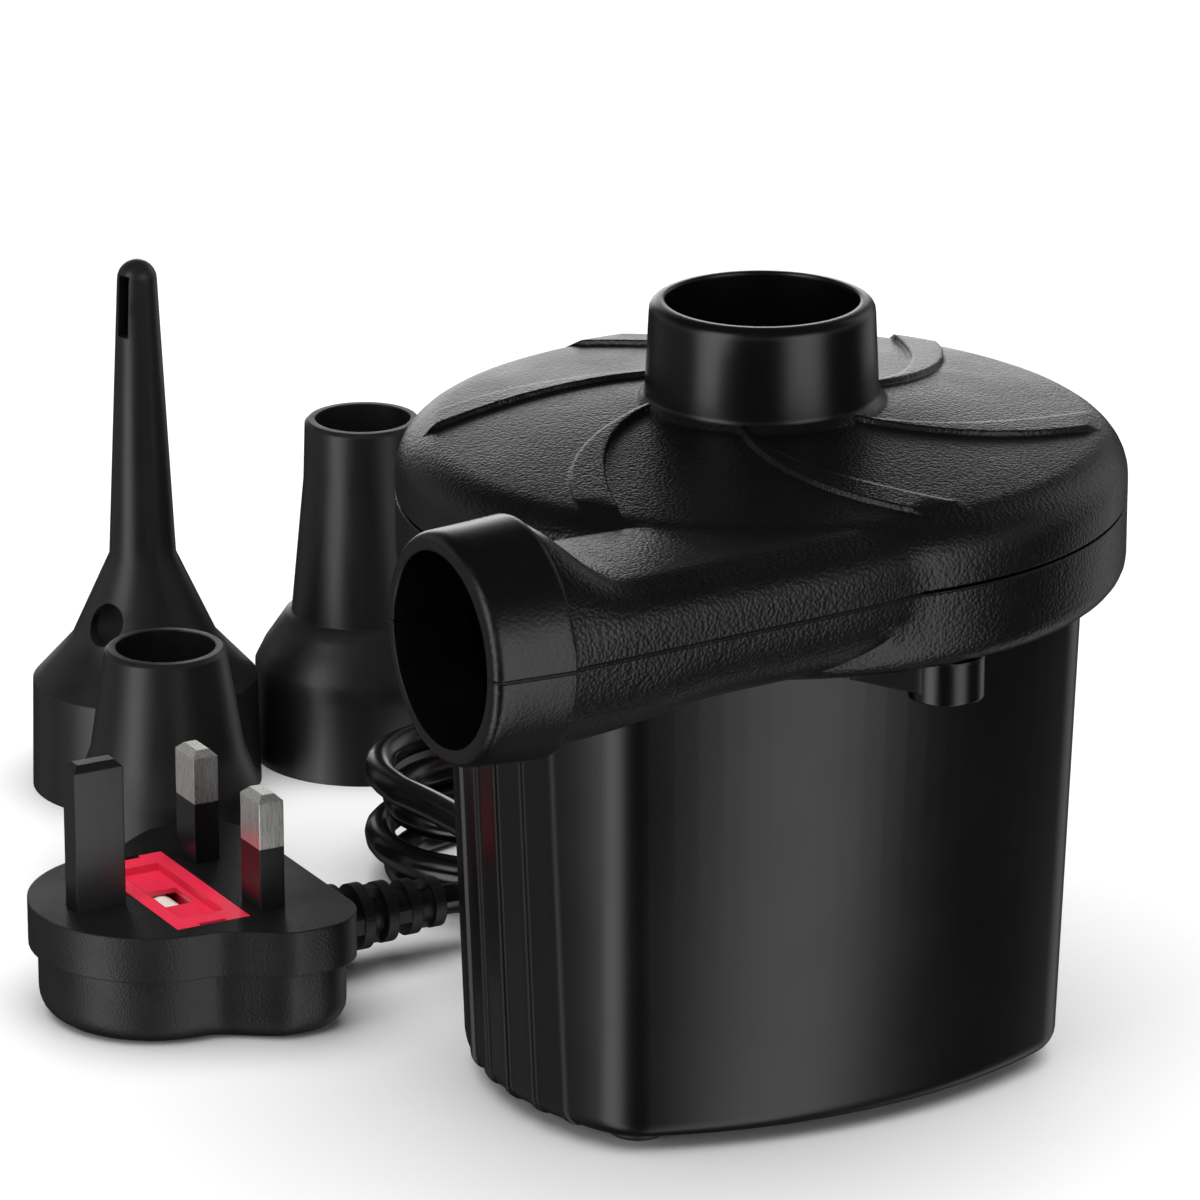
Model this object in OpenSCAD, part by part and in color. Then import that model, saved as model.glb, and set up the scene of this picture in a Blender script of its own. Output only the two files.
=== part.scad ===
// Electric air mattress pump. A round fan housing with a top intake and a side outlet sits on a
// tapered motor housing. A mains lead with a three-pin plug and three push-on nozzles go with it.
// Millimetres, +Z up. The origin is on the floor under the fan axis, and the outlet points to -X.

/* [Fan housing] */
// Outer radius of the round fan housing
lid_r = 52.5; // [51:0.5:56]
// Wall of the moulded shells
wall = 2.2; // [1.8:0.1:2.6]
// Height of the lower shell, from its underside to the parting line
base_h = 11.9; // [11:0.1:13]
// Fillet under the lower shell
base_fillet = 3.7; // [2:0.1:4.5]
// Straight side of the cover above the parting line
lid_side = 3.1; // [2:0.1:5]
// Fillet round the top of the cover
lid_fillet = 6.8; // [5:0.1:8]
// Rise of the cover towards the intake, in degrees
lid_slope = 7.4; // [4:0.1:9]
// Fine groove along the parting line, cut from the lower edge of the cover
seam = 0.5; // [0.3:0.1:0.7]

/* [Intake and outlet] */
// Height of the intake mouth above the parting line
intake_top = 28.3; // [24:0.1:34]
// Radius of the intake bore
intake_r = 14; // [12:0.1:14.2]
// Radius of the outlet bore
outlet_r = 13.6; // [12:0.1:14]
// Outer radius of the two spigots at the root
spigot_root_r = 16.8; // [16.5:0.1:18]
// Outer radius of the two spigots at the mouth
spigot_tip_r = 16.2; // [15.8:0.1:16.4]
// Rounding of the spigot mouths
spigot_lip = 1.6; // [0.6:0.1:1.8]
// Distance of the outlet mouth from the fan axis
outlet_reach = 73.5; // [71:0.5:80]
// Length of the outlet spigot
outlet_len = 11.9; // [10:0.1:14]
// Distance of the outlet axis from the fan axis
outlet_y = 41; // [40:0.1:43]
// Outer radius of the duct behind the outlet spigot
neck_r = 16.1; // [15.6:0.1:16.3]

/* [Swirl bands on the cover] */
// Number of raised bands
band_n = 6; // [4:1:8]
// Height of a band above the cover
band_h = 0.8; // [0.5:0.1:1.2]
// Angle that a band sweeps from the intake to the rim
band_sweep = 48; // [30:1:60]
// Width of a band at the intake
band_w_in = 0.8; // [0.6:0.1:3]
// Width of a band at the rim
band_w_out = 7; // [4:0.1:8]

/* [Motor housing] */
// Height of the motor housing
body_h = 73.4; // [70:0.1:80]
// Width of the housing at the floor
body_w = 86.2; // [84:0.2:88]
// Width of the housing under the fan housing
body_w_top = 92.2; // [90:0.2:94]
// Depth of the housing at the floor
body_d = 64.4; // [62:0.2:66]
// Depth of the housing under the fan housing
body_d_top = 70.6; // [69:0.2:71]
// Radius of the bulged front and back
body_bulge = 84.7; // [75:0.1:100]
// Radius of the bulged sides
side_bulge = 45; // [42:0.5:60]
// How far the housing stands forward of the fan axis
body_fwd = 0.8; // [0:0.1:1.2]
// Radius of the upright corners
body_corner = 11; // [9:0.5:13]
// Rounding of the bottom edge
body_edge = 3; // [1.5:0.5:4]
// Number of upright ribs on each side
rib_n = 5; // [3:1:5]
// Spacing of the ribs
rib_pitch = 6.3; // [6:0.1:7]
// Height of a rib
rib_h = 0.5; // [0.3:0.1:0.8]

/* [Feet and screws] */
// Height of the rubber feet
foot_h = 2.2; // [1.5:0.1:4]
// Radius of a foot
foot_r = 4.6; // [4.4:0.1:6]
// Half the spacing of the feet and housing screws along X
post_x = 29.5; // [27:0.5:30]
// Half the spacing of the feet and housing screws along Y
post_y = 17; // [15:0.5:17.5]
// Shank radius of the housing and cover screws
screw_r = 1.45; // [1.2:0.05:1.6]
// Head radius of the housing and cover screws
screw_head_r = 2.9; // [2.5:0.1:3]
// Length of the screws under the head
screw_len = 10; // [9:0.5:11]
// Distance of the cover screws from the fan axis
boss_ring = 45; // [44.5:0.1:45.4]
// Radius of the cover screw bosses
boss_r = 5.4; // [5:0.1:5.6]
// Depth of the cover screw bosses under the lower shell
boss_h = 6.2; // [5.8:0.1:9]

/* [Fan] */
// Radius of the impeller
fan_r = 38; // [34:0.5:39.5]
// Number of blades
blade_n = 9; // [7:1:11]
// Thickness of a blade
blade_t = 1.4; // [1:0.1:2]
// Height of a blade at the tip
blade_h = 12; // [8:0.5:13]

/* [Motor] */
// Radius of the motor can
motor_r = 18; // [17:0.5:19]
// Length of the motor can
motor_len = 46; // [44:1:48]
// Wall of the motor can
can_wall = 1.2; // [0.8:0.1:1.4]
// Radius of the shaft
shaft_r = 1.6; // [1.5:0.05:2]
// Running clearance of the shaft in its bushes
run_clear = 0.03; // [0.02:0.01:0.05]
// Radius of the armature core
core_r = 12.4; // [11.5:0.1:12.6]
// Radius of the commutator
comm_r = 5; // [4.5:0.1:5.5]

/* [Switch] */
// Height of the switch centre above the floor
switch_z = 46; // [42:1:52]
// Length of the rocker
rocker_len = 16; // [14:0.5:17]
// Width of the rocker
rocker_w = 10.4; // [9:0.2:11]
// Tilt of the rocker each way, in degrees
rocker_tilt = 8; // [5:1:9]
// Gap round the rocker
rocker_gap = 1; // [0.8:0.1:1.2]

/* [Mains lead and plug] */
// Diameter of the lead
cord_d = 4.8; // [4.6:0.1:4.8]
// Height of the lead's gland above the floor
gland_z = 18.6; // [18:0.1:19]
// Length of the gland's tapered tail
gland_len = 20; // [20:0.5:21]
// Spacing of the live and neutral pins, and of the earth pin from them
pin_pitch = 22.2; // [22:0.1:22.4]
// Thickness of the plug from its face to its back
plug_t = 18; // [17:0.5:20]
// Half the width of the plug at the live and neutral pins
plug_half = 25; // [24.5:0.1:26]
// Travel of the fuse carrier out of the plug
carrier_travel = 12; // [8:1:14]

/* [Nozzles] */
// Outer radius of the nozzle sockets that fit over the spigots
socket_r = 18.6; // [18.4:0.1:19.2]
// Depth of the nozzle sockets
socket_h = 18; // [14:1:20]
// Wall of the nozzles
nozzle_wall = 1.7; // [1.2:0.1:1.8]
// Height of the pin nozzle
pin_nozzle_h = 88; // [80:1:96]
// Height of the tapered nozzle
long_nozzle_h = 57; // [52:1:64]
// Height of the short nozzle
short_nozzle_h = 39; // [37:1:46]

/* [Hidden] */
$fn = 64;

// Colours of the mouldings and metals
black_abs = [0.10, 0.10, 0.11];
satin_black = [0.13, 0.13, 0.14];
black_rubber = [0.06, 0.06, 0.06];
steel = [0.62, 0.63, 0.65];
brass = [0.78, 0.66, 0.38];
copper = [0.72, 0.40, 0.24];

// Levels and shared fits
eps = 0.01;
slide_fit = 0.05;
seat_gap = 0.15;
z_under = foot_h + body_h;
z_part = z_under + base_h;
chamber_r = lid_r - wall;
cone_r0 = lid_r - lid_fillet + lid_fillet * sin(lid_slope);
cone_z0 = lid_side + lid_fillet * cos(lid_slope);

function lerp(a, b, t) = a + (b - a) * t;
function ease(t) = let (s = min(max(t, 0), 1)) s * s * (3 - 2 * s);
function arc(c, r, a0, a1, n) =
    [for (i = [0:n]) let (a = lerp(a0, a1, i / n)) c + r * [cos(a), sin(a)]];

// Height of the cover's outside over the parting line at a radius on its cone
function cover_z(r) = cone_z0 + (cone_r0 - r) * tan(lid_slope);

// Closed solid through rings of points, each ring turning left about the way the rings go
module skin(rings) {
    n = len(rings[0]);
    m = len(rings);
    points = [for (ring = rings) each ring];
    caps = [[for (i = [0:n - 1]) i], [for (i = [n - 1:-1:0]) (m - 1) * n + i]];
    sides = [for (k = [0:m - 2]) for (i = [0:n - 1])
        let (a = k * n + i, b = k * n + (i + 1) % n)
        each [[a, a + n, b + n], [a, b + n, b]]];
    polyhedron(points, concat(caps, sides));
}

// Rings of a round tube along a route, square to it at each point
function unit(v) = v / norm(v);
function heading(route, i) =
    let (last = len(route) - 1) unit(route[min(i + 1, last)] - route[max(i - 1, 0)]);
function tube_rings(route, r, sides) =
    [for (i = [0:len(route) - 1])
        let (t = heading(route, i), side = unit(cross([0, 0, 1], t)), up = cross(t, side))
        [for (k = [0:sides - 1]) let (a = 360 * k / sides)
            route[i] + r * cos(a) * side + r * sin(a) * up]];

// Spigot with a tapered outside and a rounded mouth, standing on z = 0
module spigot(length) {
    rotate_extrude()
        polygon(concat([[0, 0], [spigot_root_r, 0]],
            arc([spigot_tip_r - spigot_lip, length - spigot_lip], spigot_lip, 0, 90, 5),
            [[0, length]]));
}

// Duct between the fan housing and the outlet
neck_x0 = -(outlet_reach - outlet_len);
neck_x1 = -2;
neck_top = 9.2;
neck_low = 15.2;
neck_drop = 10;
neck_rise = 27;
neck_shape = 20;
neck_steps = 18;
neck_crowd = 1.6;
corner_steps = 9;
back_corner = 8;
low_corner = 11;
floor_step = 0.4;
duct_step = 0.3;
overlap = 1;
neck_tuck = 0.9;
neck_reach = norm([neck_x0, outlet_y + neck_r]);
tangent_at = atan2(-(outlet_y + neck_r), neck_x0) + acos(lid_r / neck_reach);
tangent_pt = lid_r * [cos(tangent_at), sin(tangent_at)];

function corner(c, r, a0) =
    [for (i = [0:corner_steps]) let (a = a0 + 90 * (i + 0.5) / (corner_steps + 1))
        c + r * [cos(a), sin(a)]];

// One cross-section of the duct at x, drawn in by inset: round at the spigot, boxy at the fan
function neck_section(x, inset, low0) =
    let (d = x - neck_x0,
        front = lerp(-(outlet_y + neck_r), tangent_pt[1], d / (tangent_pt[0] - neck_x0))
            + neck_tuck * ease((x + 16) / 16) + inset,
        back = -(outlet_y - neck_r) - inset,
        top = lerp(neck_r, neck_top, ease(d / neck_drop)) - inset,
        low = -lerp(low0, base_h - floor_step, ease(d / neck_rise)) + inset,
        r_top = lerp(neck_r, lid_fillet, ease(d / neck_drop)) - inset,
        r_low = lerp(low0, low_corner, ease(d / neck_shape)) - inset,
        r_back = lerp(neck_r, back_corner, ease(d / neck_drop)) - inset)
    [for (p = concat(corner([back - r_low, low + r_low], r_low, 270),
            corner([back - r_back, top - r_back], r_back, 0),
            corner([front + r_top, top - r_top], r_top, 90),
            corner([front + r_low, low + r_low], r_low, 180))) [x, p[0], p[1]]];

module neck(inset, low0, x0, x1) {
    skin([for (i = [0:neck_steps])
        neck_section(lerp(x0, x1, (i / neck_steps) ^ neck_crowd), inset, low0)]);
}

// Outside and inside of the outlet, both about the parting line
module outlet_outside() {
    neck(0, neck_low, neck_x0 - overlap, neck_x1);
    translate([neck_x0, -outlet_y, 0])
        rotate([0, -90, 0])
            spigot(outlet_len);
}

module outlet_inside() {
    neck(neck_r - outlet_r - duct_step, neck_r, neck_x0, neck_x1 - 3);
    translate([neck_x0 + overlap, -outlet_y, 0])
        rotate([0, -90, 0])
            cylinder(h = outlet_len + 2 * overlap, r = outlet_r);
}

// Half space above or below the parting line
module half_space(up) {
    s = 2 * outlet_reach + 2 * lid_r;
    translate([-s / 2, -s / 2, up ? 0 : -s])
        cube(s);
}

// Places of the cover screws round the fan housing
boss_angles = [-85, 62, 118];
module at_bosses() {
    for (a = boss_angles)
        rotate(a)
            translate([boss_ring, 0, 0])
                children();
}

// Places of the feet and housing screws
module at_posts() {
    for (sx = [-1, 1], sy = [-1, 1])
        translate([sx * post_x, sy * post_y, 0])
            children();
}

// Cover of the fan housing with the intake spigot, swirl bands and screw posts
cover_post_r = 4;
cover_post_hole = 9;
root_fillet = 1.2;
throat_flare = 0.8;
throat_z = cover_z(spigot_root_r + root_fillet) + root_fillet + 0.3;
chamber_top = cover_z(intake_r) - wall / cos(lid_slope);
band_start_r = spigot_root_r - 0.5;
band_end_r = lid_r - 2;
band_turn = -11;
band_curl = 10.6;
band_flare = 0.75;

module cover_outside() {
    root_z = cover_z(spigot_root_r + root_fillet);
    rotate_extrude()
        polygon(concat([[0, 0], [lid_r - seam, 0], [lid_r, seam]],
            arc([lid_r - lid_fillet, lid_side], lid_fillet, 0, 90 - lid_slope, 8),
            [[spigot_root_r + root_fillet, root_z], [spigot_root_r, root_z + root_fillet]],
            arc([spigot_tip_r - spigot_lip, intake_top - spigot_lip], spigot_lip, 0, 90, 5),
            [[0, intake_top]]));
}

module cover_chamber() {
    rotate_extrude()
        polygon(concat([[0, -1], [chamber_r, -1]],
            arc([lid_r - lid_fillet, lid_side], lid_fillet - wall, 0, 90 - lid_slope, 5),
            [[intake_r - eps, chamber_top], [0, chamber_top]]));
}

// Outline of one swirl band seen from above, as two spirals from the intake to the rim
function band_side(side) =
    [for (i = [0:10]) let (t = i / 10, r = lerp(band_start_r, lid_r, t),
        w = lerp(band_w_in, band_w_out, ease(t / band_flare)),
        a = band_sweep * t + band_curl * t * (1 - t) + side * w / 2 / r * 180 / PI)
        r * [cos(a), sin(a)]];

module swirl_bands() {
    intersection() {
        rotate_extrude()
            polygon([[band_start_r, cover_z(band_start_r) - 1],
                [band_start_r, cover_z(band_start_r) + band_h],
                [cone_r0, cone_z0 + band_h],
                [band_end_r, lid_side + sqrt(lid_fillet ^ 2 - (band_end_r - lid_r + lid_fillet) ^ 2)],
                [cone_r0, cone_z0 - 1]]);
        union()
            for (k = [0:band_n - 1])
                rotate(band_turn + 360 * k / band_n)
                    linear_extrude(intake_top)
                        polygon(concat(band_side(1), [for (i = [10:-1:0]) band_side(-1)[i]]));
    }
}

// Intake bore, with a throat that opens towards the fan
module intake_bore() {
    throat_z0 = chamber_top - 0.5;
    translate([0, 0, throat_z])
        cylinder(h = intake_top - throat_z + 1, r = intake_r);
    translate([0, 0, throat_z0])
        cylinder(h = throat_z - throat_z0 + eps, r1 = intake_r + throat_flare, r2 = intake_r);
}

module top_cover() {
    color(black_abs)
        translate([0, 0, z_part])
            difference() {
                union() {
                    difference() {
                        union() {
                            cover_outside();
                            outlet_outside();
                        }
                        half_space(false);
                        cover_chamber();
                        outlet_inside();
                    }
                    at_bosses()
                        translate([0, 0, wall - base_h])
                            cylinder(h = base_h - wall + cover_z(boss_ring) - wall / 2, r = cover_post_r);
                    swirl_bands();
                }
                intake_bore();
                at_bosses()
                    translate([0, 0, -base_h])
                        cylinder(h = wall + cover_post_hole, r = screw_r + slide_fit);
            }
}

// Lower shell of the fan housing, which carries the motor and the housing
motor_boss_r = 6.5;
motor_boss_h = 4.5;
motor_screw_ring = 12.5;
motor_screw_r = 1.3;
motor_screw_head_r = 2.6;
motor_screw_head_h = 1.8;
seat_ring_t = 2;
seat_ring_h = 4;
lip_t = 1.6;
lip_h = 3;
lip_fit = 0.35;
post_boss_r = 4.6;
post_boss_h = 9;
head_pocket = 4;
gusset_l = 14;
gusset_t = 2.4;

module volute_base() {
    color(black_abs)
        difference() {
            translate([0, 0, z_part])
                difference() {
                    union() {
                        base_outside();
                        outlet_outside();
                    }
                    half_space(true);
                    base_chamber();
                    outlet_inside();
                }
            base_holes();
        }
    color(black_abs)
        translate([0, 0, z_under + eps])
            mirror([0, 0, 1])
                base_underside();
}

module base_outside() {
    rotate_extrude()
        polygon(concat([[0, -base_h]],
            arc([lid_r - base_fillet, base_fillet - base_h], base_fillet, 270, 360, 6),
            [[lid_r, 1], [0, 1]]));
}

module base_chamber() {
    rotate_extrude()
        polygon([[0, wall - base_h], [chamber_r - 1, wall - base_h],
            [chamber_r, wall - base_h + 1], [chamber_r, 2], [0, 2]]);
}

module base_holes() {
    translate([0, 0, z_under - 1])
        cylinder(h = wall + 2, r = motor_boss_r + seat_gap);
    for (a = [90, 270])
        rotate(a)
            translate([motor_screw_ring, 0, z_under - 1])
                cylinder(h = wall + 2, r = motor_screw_r + slide_fit);
    at_bosses()
        translate([0, 0, z_under - 1])
            cylinder(h = wall + 2, r = screw_r + slide_fit);
}

// Everything that hangs under the lower shell, drawn downwards from its underside
module base_underside() {
    difference() {
        cylinder(h = seat_ring_h, r = motor_r + seat_gap + seat_ring_t);
        translate([0, 0, -1])
            cylinder(h = seat_ring_h + 2, r = motor_r + seat_gap);
    }
    at_bosses() {
        difference() {
            cylinder(h = boss_h, r = boss_r);
            translate([0, 0, -1])
                cylinder(h = boss_h + 2, r = screw_r + slide_fit);
            translate([0, 0, boss_h - head_pocket])
                cylinder(h = head_pocket + 1, r = screw_head_r + seat_gap);
        }
        translate([0, -boss_r + 1, 0])
            rotate([90, 0, -90])
                linear_extrude(gusset_t, center = true)
                    polygon([[0, 0], [gusset_l, 0], [0, boss_h - 1]]);
    }
    at_posts()
        difference() {
            cylinder(h = post_boss_h, r = post_boss_r);
            translate([0, 0, 1])
                cylinder(h = post_boss_h, r = screw_r + slide_fit);
        }
    linear_extrude(lip_h)
        difference() {
            polygon(plan(body_w_top, body_d_top, wall + lip_fit, false));
            polygon(plan(body_w_top, body_d_top, wall + lip_fit + lip_t, false));
        }
}

// Plan of the motor housing: bulged front, back and ribbed sides, joined by round corners
arc_steps = 10;
side_steps = 8;
rib_foot = 1.5;
rib_tip = 0.8;
rib_fwd = 2.3;

// Centre of the corner that touches both the front arc and the side arc
function corner_centre(hw, hd, bulge, side, rc) =
    let (f = bulge - hd, s = hw - side, d = norm([s, f]), r1 = bulge - rc, r2 = side - rc,
        a = (r1 ^ 2 - r2 ^ 2 + d ^ 2) / (2 * d), h = sqrt(r1 ^ 2 - a ^ 2))
    [(a * s + h * f) / d, f + (h * s - a * f) / d];

function side_point(hw, side, t, out) = [hw - side + (side + out) * sin(t), -(side + out) * cos(t)];

// Points of the side arc from the angle t0 to its mirror, without and with ribs
function smooth_side(hw, side, t0, t1) =
    [for (i = [1:side_steps]) side_point(hw, side, lerp(t0, t1, i / (side_steps + 1)), 0)];

function ribbed_side(hw, side, t0) =
    let (turn = 180 / PI / side,
        mids = [for (i = [0:rib_n - 1]) 90 + ((i - (rib_n - 1) / 2) * rib_pitch - rib_fwd) * turn])
    concat(smooth_side(hw, side, t0, mids[0] - rib_foot * turn),
        [for (t = mids) each [side_point(hw, side, t - rib_foot / 2 * turn, 0),
            side_point(hw, side, t - rib_tip / 2 * turn, rib_h),
            side_point(hw, side, t + rib_tip / 2 * turn, rib_h),
            side_point(hw, side, t + rib_foot / 2 * turn, 0)]],
        smooth_side(hw, side, mids[rib_n - 1] + rib_foot * turn, 180 - t0));

function plan(w, d, inset, ribbed) =
    let (hw = w / 2 - inset, hd = d / 2 - inset, bulge = body_bulge - inset, side = side_bulge - inset,
        rc = body_corner - inset, c = corner_centre(hw, hd, bulge, side, rc), f = bulge - hd,
        t_front = atan2(c[0], f - c[1]), t_side = atan2(c[0] - hw + side, -c[1]),
        q = concat([for (i = [0:arc_steps - 1]) let (t = t_front * i / arc_steps)
                [bulge * sin(t), f - bulge * cos(t)]],
            [for (i = [0:arc_steps]) let (t = lerp(t_front, t_side, i / arc_steps)) c + rc * [sin(t), -cos(t)]]),
        s = ribbed ? ribbed_side(hw, side, t_side) : smooth_side(hw, side, t_side, 180 - t_side),
        n = len(q), m = len(s),
        points = concat(q, s, [for (i = [n - 1:-1:0]) [q[i][0], -q[i][1]]],
            [for (i = [1:n - 1]) [-q[i][0], -q[i][1]]],
            [for (i = [1:m]) [-s[m - i][0], s[m - i][1]]],
            [for (i = [n - 1:-1:1]) [-q[i][0], q[i][1]]]))
    [for (p = points) p - [0, body_fwd]];

function plan_ring(z, inset, ribbed) =
    let (t = (z - foot_h) / body_h)
    [for (p = plan(lerp(body_w, body_w_top, t), lerp(body_d, body_d_top, t), inset, ribbed))
        [p[0], p[1], z]];

// Back of the motor housing on its middle line at a height
function back_y(z) = lerp(body_d, body_d_top, (z - foot_h) / body_h) / 2 - body_fwd;

// Motor housing: a tapered shell with ribs, screw posts, a switch panel and a gland seat
edge_steps = 6;
post_r = 5.2;
post_bore = 3.5;
post_top = z_under - post_boss_h;
post_shelf = 3;
panel_w = 20;
panel_h = 28;
switch_back = back_y(switch_z + panel_h / 2);
gland_x = -15.5;
gland_seat = back_y(gland_z) + 0.7;
gland_depth = 6.2;
gland_inner = gland_seat - gland_depth;
gland_boss_r = 8.5;
gland_neck_r = 4.4;
slot_n = 5;
slot_w = 2.4;
slot_l = 20;
slot_pitch = 6;
bezel_w = rocker_w + 5;
bezel_h = rocker_len + 5.4;
bezel_t = 1.8;
switch_w = rocker_w + 2 * rocker_gap + 1.6;
switch_h = rocker_len + 2 * rocker_gap + 1.6;
switch_depth = 8.4;

module motor_housing() {
    color(satin_black)
        difference() {
            union() {
                difference() {
                    skin(concat([plan_ring(foot_h - 1, body_edge, true)],
                        [for (i = [0:edge_steps]) let (t = 90 * i / edge_steps)
                            plan_ring(foot_h + body_edge * (1 - cos(t)), body_edge * (1 - sin(t)), true)],
                        [plan_ring(z_under + 1, 0, true)]));
                    skin([plan_ring(foot_h + wall, wall, false), plan_ring(z_under + 2, wall, false)]);
                    translate([-body_w_top, -body_w_top, z_under])
                        cube([2 * body_w_top, 2 * body_w_top, 4]);
                    translate([-body_w_top, -body_w_top, foot_h - 4])
                        cube([2 * body_w_top, 2 * body_w_top, 4]);
                }
                at_posts()
                    translate([0, 0, foot_h + wall / 2])
                        cylinder(h = post_top - foot_h - wall / 2, r = post_r);
                translate([-panel_w / 2, switch_back - wall - 1, switch_z - panel_h / 2])
                    cube([panel_w, wall + 1, panel_h]);
                translate([gland_x, gland_inner, gland_z])
                    rotate([-90, 0, 0])
                        cylinder(h = gland_seat - gland_inner, r = gland_boss_r);
            }
            at_posts() {
                translate([0, 0, foot_h - 1])
                    cylinder(h = post_top - post_shelf - foot_h + 1, r = post_bore);
                translate([0, 0, post_top - post_shelf - 1])
                    cylinder(h = post_shelf + 2, r = screw_r + slide_fit);
            }
            translate([-switch_w / 2 - slide_fit, switch_back - 2 * wall - 6, switch_z - switch_h / 2 - slide_fit])
                cube([switch_w + 2 * slide_fit, 2 * wall + 8, switch_h + 2 * slide_fit]);
            translate([gland_x, gland_inner - 1, gland_z])
                rotate([-90, 0, 0])
                    cylinder(h = gland_seat - gland_inner + 2, r = gland_neck_r + slide_fit);
            for (i = [0:slot_n - 1])
                translate([(i - (slot_n - 1) / 2) * slot_pitch, 0, foot_h - 1])
                    linear_extrude(wall + 2)
                        slot2d(slot_l, slot_w);
        }
}

module slot2d(l, w) {
    square([w, l - w], center = true);
    for (s = [-1, 1])
        translate([0, s * (l - w) / 2])
            circle(d = w, $fn = 24);
}

// Rubber feet, pushed into the screw posts from below
foot_stem = 5;
module rubber_feet() {
    color(black_rubber)
        at_posts()
            rotate_extrude()
                polygon(concat([[0, 0]], arc([foot_r - 1, 1], 1, 270, 360, 4),
                    [[foot_r, foot_h], [post_bore - slide_fit, foot_h],
                    [post_bore - slide_fit, foot_h + foot_stem], [0, foot_h + foot_stem]]));
}

// Cross-head screw with its head under z = 0 and its shank above
head_h = 2.2;
module screw(length) {
    difference() {
        union() {
            translate([0, 0, -head_h])
                cylinder(h = head_h, r = screw_head_r);
            cylinder(h = length, r = screw_r);
        }
        for (a = [0, 90])
            rotate(a)
                translate([-screw_head_r * 0.6, -0.4, -head_h - 1])
                    cube([screw_head_r * 1.2, 0.8, 2]);
    }
}

module cover_screws() {
    color(steel)
        at_bosses()
            translate([0, 0, z_under - boss_h + head_pocket])
                screw(screw_len);
}

module housing_screws() {
    color(steel)
        at_posts()
            translate([0, 0, post_top - post_shelf])
                screw(screw_len);
}

// Impeller: a back plate with a domed hub and backward-swept blades
fan_z = z_under + wall + 2.5;
plate_t = 1.6;
hub_r = 7;
hub_h = 13;
blade_in_r = 12.5;
blade_in_h = 16;
blade_turn = -52;
nut_h = 3;
nut_r = 3.2;

function blade_side(side) =
    [for (i = [0:8]) let (t = i / 8, r = lerp(blade_in_r, fan_r - 0.2, t),
        a = blade_turn * ease(t) * 0.5 + blade_turn * t * 0.5 + side * blade_t / 2 / r * 180 / PI)
        r * [cos(a), sin(a)]];

module impeller() {
    color(black_abs)
        translate([0, 0, fan_z])
            difference() {
                union() {
                    rotate_extrude()
                        polygon(concat([[0, 0], [fan_r, 0], [fan_r, plate_t], [hub_r + 4, plate_t]],
                            arc([hub_r + 4, plate_t + 4], 4, 270, 180, 5),
                            [[hub_r, hub_h - 2], [hub_r - 2, hub_h], [0, hub_h]]));
                    intersection() {
                        union()
                            for (k = [0:blade_n - 1])
                                rotate(360 * k / blade_n)
                                    linear_extrude(plate_t + blade_in_h)
                                        polygon(concat(blade_side(1),
                                            [for (i = [8:-1:0]) blade_side(-1)[i]]));
                        rotate_extrude()
                            polygon([[0, plate_t / 2], [fan_r, plate_t / 2], [fan_r, plate_t + blade_h],
                                [blade_in_r, plate_t + blade_in_h], [0, plate_t + blade_in_h]]);
                    }
                }
                translate([0, 0, -1])
                    cylinder(h = hub_h + 2, r = shaft_r + slide_fit / 2);
            }
}

module impeller_nut() {
    color(brass)
        translate([0, 0, fan_z + hub_h])
            difference() {
                cylinder(h = nut_h, r = nut_r, $fn = 6);
                translate([0, 0, -1])
                    cylinder(h = nut_h + 2, r = shaft_r + slide_fit / 2);
            }
}

// Motor levels, from the seat under the lower shell downwards
gasket_t = 0.8;
motor_top = z_under - gasket_t;
can_bottom = motor_top - motor_len;
bell_t = 7;
bell_wall = 2;
bell_bottom = can_bottom - bell_t;
bell_spigot = 3;
bush_r = 4;
bush_l = 4;
bush_seat = 0.3;
core_h = 24;
core_z = can_bottom + 8.4;
winding_h = 3.8;
tooth_n = 5;
slot_half = 1.6;
tooth_root = 6;
comm_h = 5.2;
comm_z = can_bottom - 1.6;
end_play = 0.3;

module motor_shaft() {
    shaft_z0 = bell_bottom + bell_wall + end_play;
    color(steel)
        translate([0, 0, shaft_z0])
            cylinder(h = fan_z + hub_h + nut_h + 1 - shaft_z0, r = shaft_r);
}

// Slots of the armature core, each opening to the rim
module core_slots(grow) {
    for (k = [0:tooth_n - 1])
        rotate(360 * (k + 0.5) / tooth_n) {
            translate([(tooth_root + core_r) / 2, 0])
                circle(r = slot_half + 0.9 - grow, $fn = 24);
            translate([core_r / 2 + tooth_root / 2, -slot_half / 2 + grow])
                square([core_r, slot_half - 2 * grow]);
        }
}

module armature_core() {
    color(steel)
        translate([0, 0, core_z])
            linear_extrude(core_h)
                difference() {
                    circle(r = core_r);
                    circle(r = shaft_r + slide_fit / 2);
                    core_slots(0);
                }
}

// Windings: the slot fill and the end turns above and below the core
module armature_windings() {
    color(copper) {
        translate([0, 0, core_z - winding_h])
            linear_extrude(core_h + 2 * winding_h)
                for (k = [0:tooth_n - 1])
                    rotate(360 * (k + 0.5) / tooth_n)
                        translate([(tooth_root + core_r) / 2, 0])
                            circle(r = slot_half + 0.9 - seat_gap, $fn = 24);
        for (z = [core_z - winding_h, core_z + core_h + slide_fit])
            translate([0, 0, z])
                rotate_extrude()
                    polygon(concat([[shaft_r + 2, 0.4], [core_r - 1.6, 0]],
                        arc([core_r - 2.6, winding_h / 2 - slide_fit / 2], winding_h / 2 - slide_fit / 2,
                            -60, 60, 5),
                        [[core_r - 1.6, winding_h - slide_fit], [shaft_r + 2, winding_h - 0.4]]));
    }
}

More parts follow.
